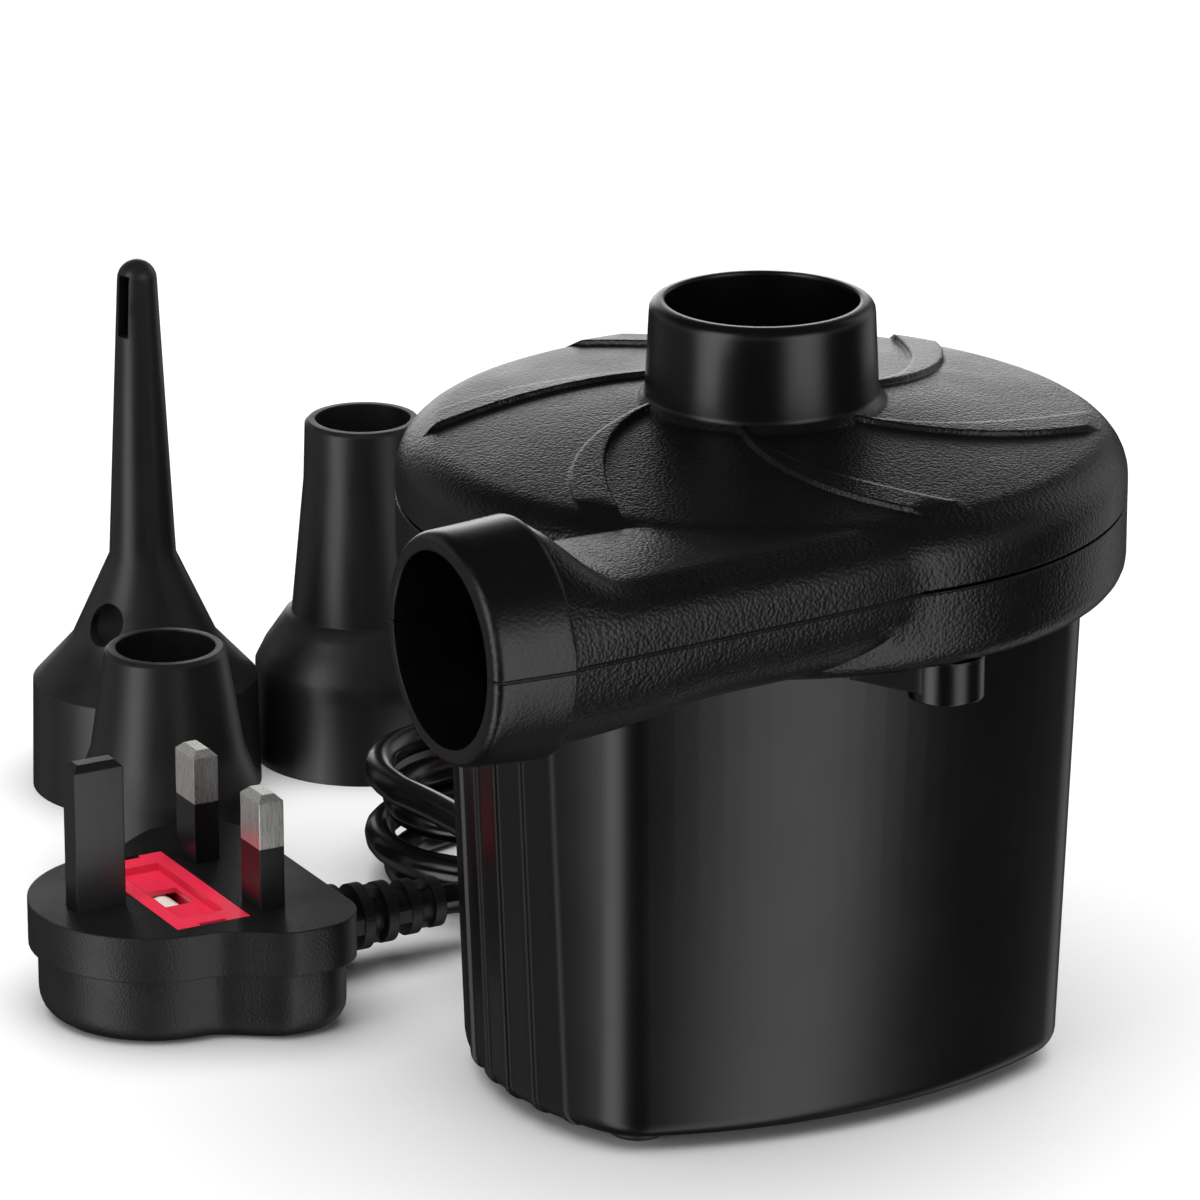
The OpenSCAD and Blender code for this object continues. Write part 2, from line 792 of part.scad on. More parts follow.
module commutator() {
    color(copper)
        translate([0, 0, comm_z])
            linear_extrude(comm_h)
                difference() {
                    circle(r = comm_r);
                    circle(r = shaft_r + slide_fit / 2);
                    for (k = [0:tooth_n - 1])
                        rotate(360 * k / tooth_n)
                            translate([comm_r - 0.8, -0.2])
                                square([1, 0.4]);
                }
}

// Motor can: a drawn steel cup with its boss through the lower shell
module motor_can() {
    color(steel)
        difference() {
            union() {
                translate([0, 0, can_bottom])
                    cylinder(h = motor_len, r = motor_r);
                translate([0, 0, motor_top])
                    cylinder(h = motor_boss_h, r = motor_boss_r);
            }
            translate([0, 0, can_bottom - 1])
                cylinder(h = motor_len - can_wall + 1, r = motor_r - can_wall);
            translate([0, 0, motor_top + bush_seat])
                cylinder(h = motor_boss_h, r = bush_r + slide_fit);
            translate([0, 0, motor_top - can_wall - 1])
                cylinder(h = motor_boss_h, r = shaft_r + 1);
            for (a = [90, 270])
                rotate(a)
                    translate([motor_screw_ring, 0, motor_top - can_wall - 1])
                        cylinder(h = can_wall + 2, r = motor_screw_r + slide_fit);
        }
}

// Two ferrite arcs inside the can
magnet_gap = 0.6;
magnet_t = 3.4;
magnet_h = 28;

module field_magnets() {
    outer = motor_r - can_wall - slide_fit;
    color([0.28, 0.28, 0.30])
        translate([0, 0, core_z - (magnet_h - core_h) / 2])
            linear_extrude(magnet_h)
                difference() {
                    circle(r = outer);
                    circle(r = max(outer - magnet_t, core_r + magnet_gap));
                    square([2 * motor_r, 11], center = true);
                }
}

module bush(z, length) {
    color(brass)
        translate([0, 0, z])
            difference() {
                cylinder(h = length, r = bush_r);
                translate([0, 0, -1])
                    cylinder(h = length + 2, r = shaft_r + run_clear);
            }
}

module front_bush() {
    bush(motor_top + bush_seat, bush_l);
}

module rear_bush() {
    bush(bell_bottom + bell_wall, bush_l - 1);
}

// End bell: a moulded cup that closes the can and holds the rear bush and the brushes
bell_cavity = 13;
brush_w = 3.4;
brush_l = 4.6;
brush_h = 4;
spring_t = 0.5;
terminal_w = 3.2;
terminal_t = 0.6;
terminal_y = 11.2;

module motor_end_bell() {
    color(satin_black)
        difference() {
            union() {
                translate([0, 0, bell_bottom])
                    cylinder(h = bell_t, r = motor_r);
                translate([0, 0, can_bottom - eps])
                    cylinder(h = bell_spigot, r = motor_r - can_wall - slide_fit);
            }
            difference() {
                translate([0, 0, bell_bottom + bell_wall])
                    cylinder(h = bell_t + bell_spigot, r = bell_cavity);
                cylinder(h = bell_bottom + bell_wall + bush_l - 1.5, r = bush_r + 1.6);
            }
            translate([0, 0, bell_bottom + bell_wall])
                cylinder(h = bell_t, r = bush_r + slide_fit);
            for (s = [-1, 1])
                translate([-terminal_w / 2 - slide_fit, s * terminal_y - terminal_t / 2 - slide_fit, bell_bottom - 1])
                    cube([terminal_w + 2 * slide_fit, terminal_t + 2 * slide_fit, bell_wall + 2]);
        }
}

module carbon_brushes() {
    color([0.2, 0.2, 0.21])
        for (s = [0, 180])
            rotate(s)
                translate([0, comm_r + slide_fit, comm_z + comm_h / 2])
                    difference() {
                        translate([-brush_w / 2, -0.6, -brush_h / 2])
                            cube([brush_w, brush_l + 0.6, brush_h]);
                        translate([0, -comm_r - slide_fit, -brush_h])
                            cylinder(h = 2 * brush_h, r = comm_r + slide_fit);
                    }
}

// Leaf springs that press the brushes on, each on its terminal
module brush_springs() {
    color(brass)
        for (s = [0, 180])
            rotate(s)
                translate([-brush_w / 2, comm_r + slide_fit + brush_l, bell_bottom + bell_wall])
                    cube([brush_w, spring_t, comm_z + comm_h - bell_bottom - bell_wall]);
}

module motor_terminals() {
    tab_top = comm_z + comm_h;
    color(brass)
        for (s = [-1, 1])
            translate([-terminal_w / 2, s * terminal_y - terminal_t / 2, board_z - 1.5])
                cube([terminal_w, terminal_t, tab_top - board_z + 1.5]);
}

module motor_screws() {
    color(steel)
        for (a = [90, 270])
            rotate(a)
                translate([motor_screw_ring, 0, z_under + wall]) {
                    cylinder(h = motor_screw_head_h, r = motor_screw_head_r);
                    translate([0, 0, -wall - gasket_t - can_wall])
                        cylinder(h = wall + gasket_t + can_wall + eps, r = motor_screw_r);
                }
}

module motor_gasket() {
    color(black_rubber)
        translate([0, 0, motor_top])
            difference() {
                cylinder(h = gasket_t, r = motor_r - 0.5);
                translate([0, 0, -1])
                    cylinder(h = gasket_t + 2, r = motor_boss_r + 0.5);
                for (a = [90, 270])
                    rotate(a)
                        translate([motor_screw_ring, 0, -1])
                            cylinder(h = gasket_t + 2, r = motor_screw_r + 0.3);
            }
}

// Rectifier board under the motor, soldered to its terminals
board_t = 1.6;
board_z = bell_bottom - board_t;
board_r = 15;
diode_r = 1.4;
diode_l = 5;
diode_x = 5;
diode_pitch = 4;
diode_drop = 0.6;
lead_r = 0.4;
lead_in = 1.2;

module rectifier_board() {
    color([0.45, 0.36, 0.18])
        translate([0, 0, board_z])
            difference() {
                cylinder(h = board_t, r = board_r);
                for (s = [-1, 1])
                    translate([-terminal_w / 2 - slide_fit, s * terminal_y - terminal_t / 2 - slide_fit, -1])
                        cube([terminal_w + 2 * slide_fit, terminal_t + 2 * slide_fit, board_t + 2]);
            }
}

// Four diodes side by side under the board, each on its two legs
module rectifier_diodes() {
    color([0.12, 0.12, 0.13])
        for (i = [0:3])
            translate([-diode_x, (i - 1.5) * diode_pitch, board_z - diode_r - diode_drop]) {
                rotate([0, 90, 0])
                    translate([0, 0, -diode_l / 2])
                        cylinder(h = diode_l, r = diode_r);
                for (s = [-1, 1])
                    translate([s * (diode_l / 2 - lead_in), 0, 0])
                        cylinder(h = diode_r + diode_drop, r = lead_r);
            }
}

module suppression_capacitor() {
    color([0.75, 0.55, 0.18])
        translate([2.5, -6.5, board_z - 8])
            cube([5, 13, 8]);
}

// Inner wires, each from a terminal to a terminal
wire_r = 0.9;
switch_rear = switch_back - switch_depth;
tag_l = 4.6;
tag_w = 4.6;
tag_t = 0.7;
tag_z = 4.5;
tag_y = switch_rear - tag_l / 2;
wire_y = tag_y - 1.2;
core_x = 2.3;
lead_y = min(wire_y, gland_inner - 4.7);
live_route = [[gland_x - core_x, gland_inner - 2, gland_z], [gland_x - core_x, gland_inner - 3.3, gland_z + 0.6],
    [gland_x - 1.5, lead_y, gland_z + 3.4], [gland_x + 1.5, lead_y - 0.5, gland_z + 8.4],
    [-9, wire_y, switch_z - 13], [-4, wire_y, switch_z - 8.5], [-1, tag_y, switch_z - 6],
    [0, tag_y, switch_z - tag_z - tag_t / 2]];
switched_route = [[0, tag_y, switch_z + tag_z - tag_t / 2], [0.3, tag_y, switch_z + 2.4],
    [1.6, wire_y, switch_z + 0.8], [4, wire_y, switch_z], [8.6, wire_y, switch_z - 2],
    [12.4, wire_y - 1.6, switch_z - 8], [14.6, 17.6, 31], [15.6, 14.6, board_z + 5.3],
    [15.4, 11.6, board_z - 1.7], [13.6, 9, board_z - 3.6], [12, 7.6, board_z - 2.6], [11.6, 7.4, board_z]];
neutral_route = [[gland_x + core_x, gland_inner - 2, gland_z], [gland_x + core_x, gland_inner - 3.6, gland_z - 0.4],
    [-11, 19.6, board_z - 3.7], [-6, 16.4, board_z - 5.4], [1, 12.6, board_z - 5.8], [7, 9, board_z - 5.4],
    [9.6, 6.4, board_z - 3.2], [10, 5, board_z]];

module wire(route, paint) {
    color(paint)
        skin(tube_rings(route, wire_r, 8));
}

module live_wire() {
    wire(live_route, [0.42, 0.24, 0.12]);
}

module switched_wire() {
    wire(switched_route, [0.42, 0.24, 0.12]);
}

module neutral_wire() {
    wire(neutral_route, [0.15, 0.30, 0.62]);
}

// Rocker switch in the back panel
pivot_r = 1;
pivot_depth = 2.2;
pocket_depth = 6;

module switch_body() {
    color(satin_black)
        translate([0, switch_back, switch_z])
            difference() {
                union() {
                    translate([-bezel_w / 2, 0, -bezel_h / 2])
                        cube([bezel_w, bezel_t, bezel_h]);
                    translate([-switch_w / 2, -switch_depth, -switch_h / 2])
                        cube([switch_w, switch_depth + eps, switch_h]);
                }
                translate([-rocker_w / 2 - rocker_gap / 2, -pocket_depth, -rocker_len / 2 - rocker_gap])
                    cube([rocker_w + rocker_gap, pocket_depth + bezel_t + 1, rocker_len + 2 * rocker_gap]);
                translate([0, -pivot_depth, 0])
                    rotate([0, 90, 0])
                        cylinder(h = rocker_w + rocker_gap + 1, r = pivot_r + run_clear, center = true);
            }
}

module switch_terminals() {
    color(brass)
        for (s = [-1, 1])
            translate([-tag_w / 2, switch_rear - tag_l, switch_z + s * tag_z - tag_t / 2])
                cube([tag_w, tag_l, tag_t]);
}

// Rocker at rest in its off position, tilted about the pivot pin
module switch_rocker() {
    half = rocker_len / 2;
    color(satin_black)
        translate([0, switch_back - pivot_depth, switch_z])
            rotate([-rocker_tilt, 0, 0])
                rotate([0, -90, 0]) {
                    linear_extrude(rocker_w, center = true)
                        polygon(concat([[-half, pivot_depth + 2.4]],
                            [for (i = [0:6]) let (u = lerp(-half + 1, half - 1, i / 6))
                                [u, pivot_depth + 1.6 + 0.9 * (u / half) ^ 2]],
                            [[half, pivot_depth + 2.4], [half - 0.6, -0.5]],
                            arc([0, 0], 3.4, -30, -150, 6), [[-half + 0.6, -0.5]]));
                    cylinder(h = rocker_w + rocker_gap + 0.8, r = pivot_r, center = true);
                }
}

// Gland of the lead: a rubber boot with a grooved neck and a ribbed tapered tail
gland_flange_r = 6.6;
gland_flange_t = 2;
tail_root_r = 5.2;
tail_tip_r = 3.6;
tail_rib_n = 5;
tail_rib_depth = 0.7;
cord_r = cord_d / 2;

// Half outline of a tapered tail with grooves between its ribs, from z0 up
function ribbed_tail(z0, length, r0, r1, n, depth) =
    [for (i = [0:n - 1]) let (p = length / n, z = z0 + i * p, a = lerp(r0, r1, i / n))
        each [[a, z], [a, z + p * 0.6], [a - depth, z + p * 0.68], [a - depth, z + p * 0.94]]];

module cord_gland() {
    y0 = gland_seat - gland_inner;
    color(black_rubber)
        translate([gland_x, gland_inner, gland_z])
            rotate([-90, 0, 0])
                rotate_extrude()
                    polygon(concat([[0, -gland_flange_t], [gland_flange_r - 0.8, -gland_flange_t],
                        [gland_flange_r - 0.8, -slide_fit], [gland_neck_r, -slide_fit],
                        [gland_neck_r, y0], [gland_flange_r + 0.6, y0], [gland_flange_r, y0 + gland_flange_t]],
                        ribbed_tail(y0 + gland_flange_t, gland_len, tail_root_r, tail_tip_r,
                            tail_rib_n, tail_rib_depth),
                        [[tail_tip_r - 0.4, y0 + gland_flange_t + gland_len],
                        [0, y0 + gland_flange_t + gland_len]]));
}

gland_end = gland_seat + gland_flange_t + gland_len;

// Hank: four loops, one a layer, that spiral in and out by turns and are drawn in at the waist
hank_x = 37;
hank_y = 88;
hank_turn = 8;
hank_loops = 4;
hank_half_run = 36;
hank_fold_r = 14.6;
hank_step = 5.4;
hank_rise = 5.4;
hank_draw = 5;
hank_lift = 1.6;
loop_rings = 24;
quarter_rings = loop_rings / 4;

// Point of the hank at ring j of loop k, in the hank's own frame
function hank_point(k, j) =
    let (phase = j / loop_rings, side = floor(j / quarter_rings), t = j / quarter_rings - side,
        spread = min(max((phase - 0.25) / 0.75, 0), 1), out = k % 2 == 0 ? 1 - spread : spread,
        r = hank_fold_r + hank_step * out,
        climb = k == 0 ? 0 : (ease(phase / 0.25) - 1),
        x = hank_half_run * (2 * t - 1), waist = side % 2 == 0 ? (1 + cos(180 * (2 * t - 1))) / 2 : 0,
        z = cord_r + hank_rise * (k + climb) + hank_lift * waist)
    side == 0 ? [x, -r + hank_draw * waist, z]
    : side == 2 ? [-x, r - hank_draw * waist, z]
    : side == 1 ? [hank_half_run + r * sin(180 * t), -r * cos(180 * t), z]
    : [-hank_half_run - r * sin(180 * t), r * cos(180 * t), z];

hank_last = loop_rings - quarter_rings / 2;
hank_core = [for (k = [0:hank_loops - 1]) for (j = [0:k < hank_loops - 1 ? loop_rings - 1 : hank_last])
    hank_point(k, j)];
hank_local = concat([hank_core[0] - [cord_d, 0, 0]], hank_core,
    [hank_core[len(hank_core) - 1] - [0, cord_d, 0]]);

// A point of the hank's frame on the floor
function on_floor(p) = [hank_x + p[0] * cos(hank_turn) - p[1] * sin(hank_turn),
    hank_y + p[0] * sin(hank_turn) + p[1] * cos(hank_turn), p[2]];

hank_route = [for (p = hank_local) on_floor(p)];

// Least gap between stretches of the hank that aren't neighbours, and its length
function least_gap(route, skip) =
    min([for (i = [0:len(route) - 1 - skip]) for (j = [i + skip:len(route) - 1]) norm(route[i] - route[j])]) - cord_d;
function route_length(route, i = 0) =
    i >= len(route) - 1 ? 0 : norm(route[i + 1] - route[i]) + route_length(route, i + 1);

module cord_hank() {
    echo(hank_gap = least_gap(hank_route, quarter_rings), hank_length = route_length(hank_route));
    color(black_rubber)
        skin(tube_rings(hank_route, cord_r, 6));
}

// Lead from the gland to the hank
hank_start = hank_route[0];
hank_end = hank_route[len(hank_route) - 1];
hank_end_way = unit(hank_end - hank_route[len(hank_route) - 2]);
hank_start_way = unit(hank_route[1] - hank_start);
lead_route = [[gland_x, gland_end, gland_z], [gland_x, gland_end + 5, gland_z],
    [gland_x - 0.4, gland_end + 12, gland_z], hank_end + hank_end_way * 4, hank_end];

module cord_lead() {
    echo(lead_length = route_length(lead_route));
    color(black_rubber)
        skin(tube_rings(lead_route, cord_r, 10));
}

// Tie round the waist of the hank
tie_w = 8;
tie_t = 1;
tie_gap = 0.4;
tie_corner = 2.6;
tie_near = -(hank_fold_r + hank_step - hank_draw + cord_r + tie_gap);
tie_far = hank_fold_r + hank_step / 2 - hank_draw + cord_r + tie_gap;
tie_low = hank_lift - tie_gap;
tie_high = hank_lift + cord_d + hank_rise * (hank_loops - 1) + tie_gap;

module tie_outline(grow) {
    r = tie_corner + grow;
    points = concat(arc([tie_near + tie_corner, tie_low + tie_corner], r, 180, 270, 5),
        arc([tie_far - tie_corner, tie_low + tie_corner], r, 270, 360, 5),
        arc([tie_far - tie_corner, tie_high - tie_corner], r, 0, 90, 5),
        arc([tie_near + tie_corner, tie_high - tie_corner], r, 90, 180, 5));
    polygon(points);
}

module cord_tie() {
    color(black_rubber)
        translate([hank_x, hank_y, 0])
            rotate([90, 0, 90 + hank_turn])
                linear_extrude(tie_w, center = true)
                    difference() {
                        tie_outline(tie_t);
                        tie_outline(0);
                    }
}

// Three-pin plug on its back, pins up, with its lead towards +X
plug_x = -56.6;
plug_y = 60;
plug_end = 11.6;
plug_nose = 31.6;
plug_nose_r = 19;
plug_corner = 8;
slab_t = 7;
step_in = 1.4;
plug_edge = 4;
relief_len = 23;
relief_seat = 3;
relief_z = 8;
relief_root_r = 6;
relief_tip_r = 3.8;
plug_steps = 14;

// Pear-shaped outline of the plug, drawn in by inset
function pear_half(inset) =
    let (r = plug_nose_r - inset, c = plug_nose_r - plug_nose, e = plug_end - inset,
        h = plug_half - inset, k = plug_corner - inset / 2)
    concat([for (i = [1:plug_steps]) let (a = 180 - 90 * i / plug_steps) [c + r * cos(a), r * sin(a)]],
        [for (i = [1:plug_steps]) let (t = i / plug_steps) [lerp(c, 0, t), lerp(r, h, ease(t))]],
        arc([e - k, h - k], k, 90, 0, 8));

function pear(inset) =
    let (q = pear_half(inset), n = len(q))
    concat([[-plug_nose + inset, 0]], [for (p = q) [p[0], -p[1]]], [for (i = [n - 1:-1:0]) q[i]]);

function pear_ring(z, inset) = [for (p = pear(inset)) [p[0], p[1], z]];

module at_plug() {
    translate([plug_x, plug_y, 0])
        children();
}

pin_len = 17.7;
pin_w = 6.35;
pin_t = 4;
earth_len = 22.7;
earth_w = 7.95;
sleeve_len = 9.5;
sleeve_inset = 0.5;
sleeve_root = 2;
pin_root = 6;
carrier_l = 30.8;
carrier_w = 11.9;
carrier_h = 8.5;
carrier_x = -10.2;
fuse_r = 3.15;
fuse_l = 25.4;

module plug_body() {
    color(black_abs)
        at_plug()
            difference() {
                union() {
                    skin(concat([for (i = [0:edge_steps]) let (t = 90 * i / edge_steps)
                            pear_ring(plug_edge * (1 - cos(t)), step_in + plug_edge * (1 - sin(t)))],
                        [pear_ring(plug_t - slab_t + eps, step_in)]));
                    translate([0, 0, plug_t - slab_t])
                        linear_extrude(slab_t)
                            polygon(pear(0));
                }
                translate([carrier_x - carrier_w / 2 - slide_fit, -carrier_l / 2 - slide_fit, plug_t - carrier_h - slide_fit])
                    cube([carrier_w + 2 * slide_fit, carrier_l + 2 * slide_fit, carrier_h + 1]);
                for (s = [-1, 1])
                    translate([-pin_t / 2 - slide_fit, s * pin_pitch / 2 - pin_w / 2 - slide_fit, plug_t - pin_root])
                        cube([pin_t + 2 * slide_fit, pin_w + 2 * slide_fit, pin_root + 1]);
                translate([-pin_pitch - earth_w / 2 - slide_fit, -pin_t / 2 - slide_fit, plug_t - pin_root])
                    cube([earth_w + 2 * slide_fit, pin_t + 2 * slide_fit, pin_root + 1]);
                translate([plug_end - relief_seat, 0, relief_z])
                    rotate([0, 90, 0])
                        cylinder(h = relief_seat + 1, r = relief_root_r + slide_fit);
            }
}

module plug_strain_relief() {
    color(black_rubber)
        at_plug()
            translate([plug_end, 0, relief_z])
                rotate([0, 90, 0])
                    rotate_extrude()
                        polygon(concat([[0, -relief_seat], [relief_root_r, -relief_seat]],
                            ribbed_tail(0, relief_len, relief_root_r, relief_tip_r, 6, 1.3),
                            [[relief_tip_r - 0.6, relief_len], [0, relief_len]]));
}

// Tail of the lead from the plug down to the hank
tail_x = plug_x + plug_end + relief_len;
tail_route = [[tail_x, plug_y, relief_z], [tail_x + 3.5, plug_y, relief_z - 0.1],
    [tail_x + 7.5, plug_y + 0.3, relief_z - 1], [tail_x + 11.5, plug_y + 0.8, relief_z - 2.6],
    [tail_x + 15.5, plug_y + 1.4, cord_r + 1.2], [tail_x + 18, plug_y + 1.9, cord_r + 0.3],
    hank_start - hank_start_way * 1.5, hank_start];

module cord_tail() {
    echo(tail_length = route_length(tail_route));
    color(black_rubber)
        skin(tube_rings(tail_route, cord_r, 10));
}

// Live and neutral pins: solid metal, thinner in the sleeved part and chamfered at the tip
module plug_pins() {
    color(brass)
        at_plug()
            for (s = [-1, 1])
                translate([0, s * pin_pitch / 2, plug_t]) {
                    translate([-pin_t / 2 + sleeve_inset, -pin_w / 2 + sleeve_inset, -pin_root])
                        cube([pin_t - 2 * sleeve_inset, pin_w - 2 * sleeve_inset, pin_root + sleeve_len + 1]);
                    translate([0, 0, sleeve_len])
                        pin_block(pin_t, pin_w, pin_len - sleeve_len);
                }
}

// Upright bar with its four top edges chamfered
module pin_block(x, y, h) {
    c = 1;
    intersection() {
        rotate([90, 0, 0])
            linear_extrude(y, center = true)
                polygon([[-x / 2, 0], [x / 2, 0], [x / 2, h - c], [x / 2 - c, h], [c - x / 2, h], [-x / 2, h - c]]);
        rotate([90, 0, 90])
            linear_extrude(x, center = true)
                polygon([[-y / 2, 0], [y / 2, 0], [y / 2, h - c], [y / 2 - c, h], [c - y / 2, h], [-y / 2, h - c]]);
    }
}

module pin_sleeves() {
    color(black_abs)
        at_plug()
            for (s = [-1, 1])
                translate([0, s * pin_pitch / 2, plug_t - sleeve_root])
                    linear_extrude(sleeve_root + sleeve_len)
                        difference() {
                            square([pin_t, pin_w], center = true);
                            square([pin_t - 2 * sleeve_inset, pin_w - 2 * sleeve_inset], center = true);
                        }
}

module earth_pin() {
    color(black_abs)
        at_plug()
            translate([-pin_pitch, 0, plug_t - pin_root])
                pin_block(earth_w, pin_t, pin_root + earth_len);
}

// Fuse carrier: an open-faced tray that draws out of the plug with the fuse
module fuse_carrier() {
    color([0.85, 0.12, 0.20])
        at_plug()
            translate([carrier_x, 0, plug_t - carrier_h])
                difference() {
                    translate([-carrier_w / 2, -carrier_l / 2, 0])
                        cube([carrier_w, carrier_l, carrier_h]);
                    translate([-fuse_r - seat_gap, -fuse_l / 2 - seat_gap, -1])
                        cube([2 * (fuse_r + seat_gap), fuse_l + 2 * seat_gap, carrier_h - 1]);
                    translate([-carrier_w / 2 + 2.4, -carrier_l / 2 + 4.2, carrier_h - 1.2])
                        cube([carrier_w - 4.8, carrier_l - 8.4, 2]);
                    translate([-2.6, -3.4, 0])
                        cube([5.2, 6.8, carrier_h + 1]);
                    for (s = [-1, 1])
                        translate([0, s * carrier_l / 2, carrier_h])
                            cube([4.4, 1.8, 2.4], center = true);
                }
}

module fuse() {
    color([0.86, 0.84, 0.80])
        at_plug()
            translate([carrier_x, 0, plug_t - carrier_h + fuse_r + 0.2])
                rotate([90, 0, 0]) {
                    cylinder(h = fuse_l - 10, r = fuse_r - 0.2, center = true);
                    for (s = [-1, 1])
                        translate([0, 0, s * (fuse_l / 2 - 2.75)])
                            cylinder(h = 5.5, r = fuse_r, center = true);
                }
}

// Nozzles: turned profiles with an even wall, standing on their sockets
pin_nozzle_at = [-28, 150];
long_nozzle_at = [10, 146];
short_nozzle_at = [-45, 106];
notch_w = 4;
notch_h = 3;
shoulder_h = 7;

// Body of revolution between an outer profile and the same profile one wall inside
module nozzle_shell(outer, inner) {
    rotate_extrude()
        polygon(concat(outer, [for (i = [len(inner) - 1:-1:0]) inner[i]]));
}

module socket_notch(a) {
    rotate(a)
        translate([socket_r - 3, -notch_w / 2, -1])
            cube([6, notch_w, notch_h + 1]);
}

cone_h = 14;
pin_tube_r = 5.4;
pin_tip_r = 3.2;
pin_cone_r = 11.8;
side_hole_r = 3.2;
tip_slot_w = 2.2;
tip_slot_h = 10;

module pin_nozzle() {
    w = nozzle_wall;
    z1 = socket_h;
    z2 = z1 + shoulder_h;
    z3 = z2 + cone_h;
    z4 = pin_nozzle_h - pin_tip_r;
    color(black_abs)
        translate(pin_nozzle_at)
            difference() {
                nozzle_shell(concat([[socket_r, 0], [socket_r - 0.4, z1], [pin_cone_r, z2], [pin_tube_r, z3]],
                        arc([0, z4], pin_tip_r, 0, 90, 6)),
                    concat([[socket_r - w, 0], [socket_r - 0.4 - w, z1], [pin_cone_r - w, z2], [pin_tube_r - w, z3]],
                        arc([0, z4], pin_tip_r - w, 0, 90, 6)));
                translate([0, 0, z2 + cone_h * 0.3])
                    rotate([0, -90, 25])
                        cylinder(h = socket_r, r = side_hole_r);
                rotate(200)
                    translate([0, -tip_slot_w / 2, z4 - tip_slot_h + 1])
                        cube([socket_r, tip_slot_w, tip_slot_h]);
                socket_notch(-60);
            }
}

long_root_r = 12;
long_tip_r = 9.5;

module long_nozzle() {
    w = nozzle_wall;
    z1 = socket_h - 1;
    z2 = z1 + shoulder_h;
    z3 = long_nozzle_h - 10;
    color(black_abs)
        translate(long_nozzle_at)
            difference() {
                nozzle_shell([[socket_r, 0], [socket_r - 0.5, z1 - 1], [socket_r - 2, z1 + 2], [long_root_r + 1.2, z2],
                        [long_root_r, z2 + 0.6], [long_tip_r + 0.3, z3], [long_tip_r, long_nozzle_h - 0.6],
                        [long_tip_r - 0.6, long_nozzle_h]],
                    [[socket_r - w, 0], [socket_r - 0.5 - w, z1 - 1], [socket_r - 2 - w, z1 + 1], [long_root_r - w, z2 - w],
                        [long_tip_r + 0.3 - w, z3], [long_tip_r - w, long_nozzle_h]]);
                socket_notch(-55);
            }
}

short_base_r = 14.6;
short_base_h = 16.6;

module short_nozzle() {
    w = nozzle_wall;
    z2 = short_base_h + shoulder_h - 1;
    color(black_abs)
        translate(short_nozzle_at)
            nozzle_shell([[short_base_r, 0], [short_base_r - 0.3, short_base_h], [long_root_r, z2],
                    [long_tip_r, short_nozzle_h - 0.6], [long_tip_r - 0.6, short_nozzle_h]],
                [[short_base_r - w, 0], [short_base_r - 0.3 - w, short_base_h], [long_root_r - w, z2],
                    [long_tip_r - w, short_nozzle_h]]);
}

top_cover();
volute_base();
motor_housing();
rubber_feet();
cover_screws();
housing_screws();
impeller();
impeller_nut();
motor_shaft();
armature_core();
armature_windings();
commutator();
motor_can();
motor_end_bell();
field_magnets();
front_bush();
rear_bush();
carbon_brushes();
brush_springs();
motor_terminals();
motor_screws();
motor_gasket();
rectifier_board();
rectifier_diodes();
suppression_capacitor();
live_wire();
switched_wire();
neutral_wire();
switch_body();
switch_terminals();
switch_rocker();
cord_gland();
cord_lead();
cord_hank();
cord_tie();
cord_tail();
plug_strain_relief();
plug_body();
plug_pins();
pin_sleeves();
earth_pin();
fuse_carrier();
fuse();
pin_nozzle();
long_nozzle();
short_nozzle();
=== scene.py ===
import bpy
import math
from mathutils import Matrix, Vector


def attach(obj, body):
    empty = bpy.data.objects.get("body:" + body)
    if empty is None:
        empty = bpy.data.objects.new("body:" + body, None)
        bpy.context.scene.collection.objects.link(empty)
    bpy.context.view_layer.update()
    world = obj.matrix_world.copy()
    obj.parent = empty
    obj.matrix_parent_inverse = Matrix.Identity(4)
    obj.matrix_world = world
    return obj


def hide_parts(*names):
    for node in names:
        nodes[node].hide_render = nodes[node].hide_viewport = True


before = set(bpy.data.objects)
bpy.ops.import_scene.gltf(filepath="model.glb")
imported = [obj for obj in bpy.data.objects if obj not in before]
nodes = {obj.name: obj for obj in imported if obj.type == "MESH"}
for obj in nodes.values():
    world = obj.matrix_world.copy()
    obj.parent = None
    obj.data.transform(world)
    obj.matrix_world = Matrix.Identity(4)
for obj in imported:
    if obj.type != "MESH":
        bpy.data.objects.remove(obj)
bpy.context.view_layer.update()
mm = 0.001


# Armature of the motor: a ground steel shaft through a stack of electrical-steel laminations, with a
# copper commutator. The stack and the commutator are pressed on the shaft.
def linear(code):
    """An sRGB hex value as a linear colour with full alpha."""
    parts = [int(code[i:i + 2], 16) / 255 for i in (1, 3, 5)]
    return [c / 12.92 if c <= 0.04045 else ((c + 0.055) / 1.055) ** 2.4 for c in parts] + [1.0]


def add(tree, kind, sockets={}, **settings):
    """Adds a node, sets its options, and fills or links its sockets."""
    node = tree.nodes.new(kind)
    for key, value in settings.items():
        setattr(node, key, value)
    for key, value in sockets.items():
        if isinstance(value, bpy.types.NodeSocket):
            tree.links.new(value, node.inputs[key])
        else:
            node.inputs[key].default_value = value
    return node


def new_material(name):
    """An empty node material, its tree, and the place on the piece in metres."""
    made = bpy.data.materials.new(name)
    made.use_nodes = True
    made.node_tree.nodes.clear()
    return made, made.node_tree, add(made.node_tree, "ShaderNodeTexCoord").outputs["Object"]


def finish_with(made, sockets, *names):
    """Closes a material with its shader and gives it to CAD pieces."""
    shader = add(made.node_tree, "ShaderNodeBsdfPrincipled", sockets)
    add(made.node_tree, "ShaderNodeOutputMaterial", {"Surface": shader.outputs[0]})
    for name in names:
        mesh = nodes[name].data
        mesh.materials.clear()
        mesh.materials.append(made)


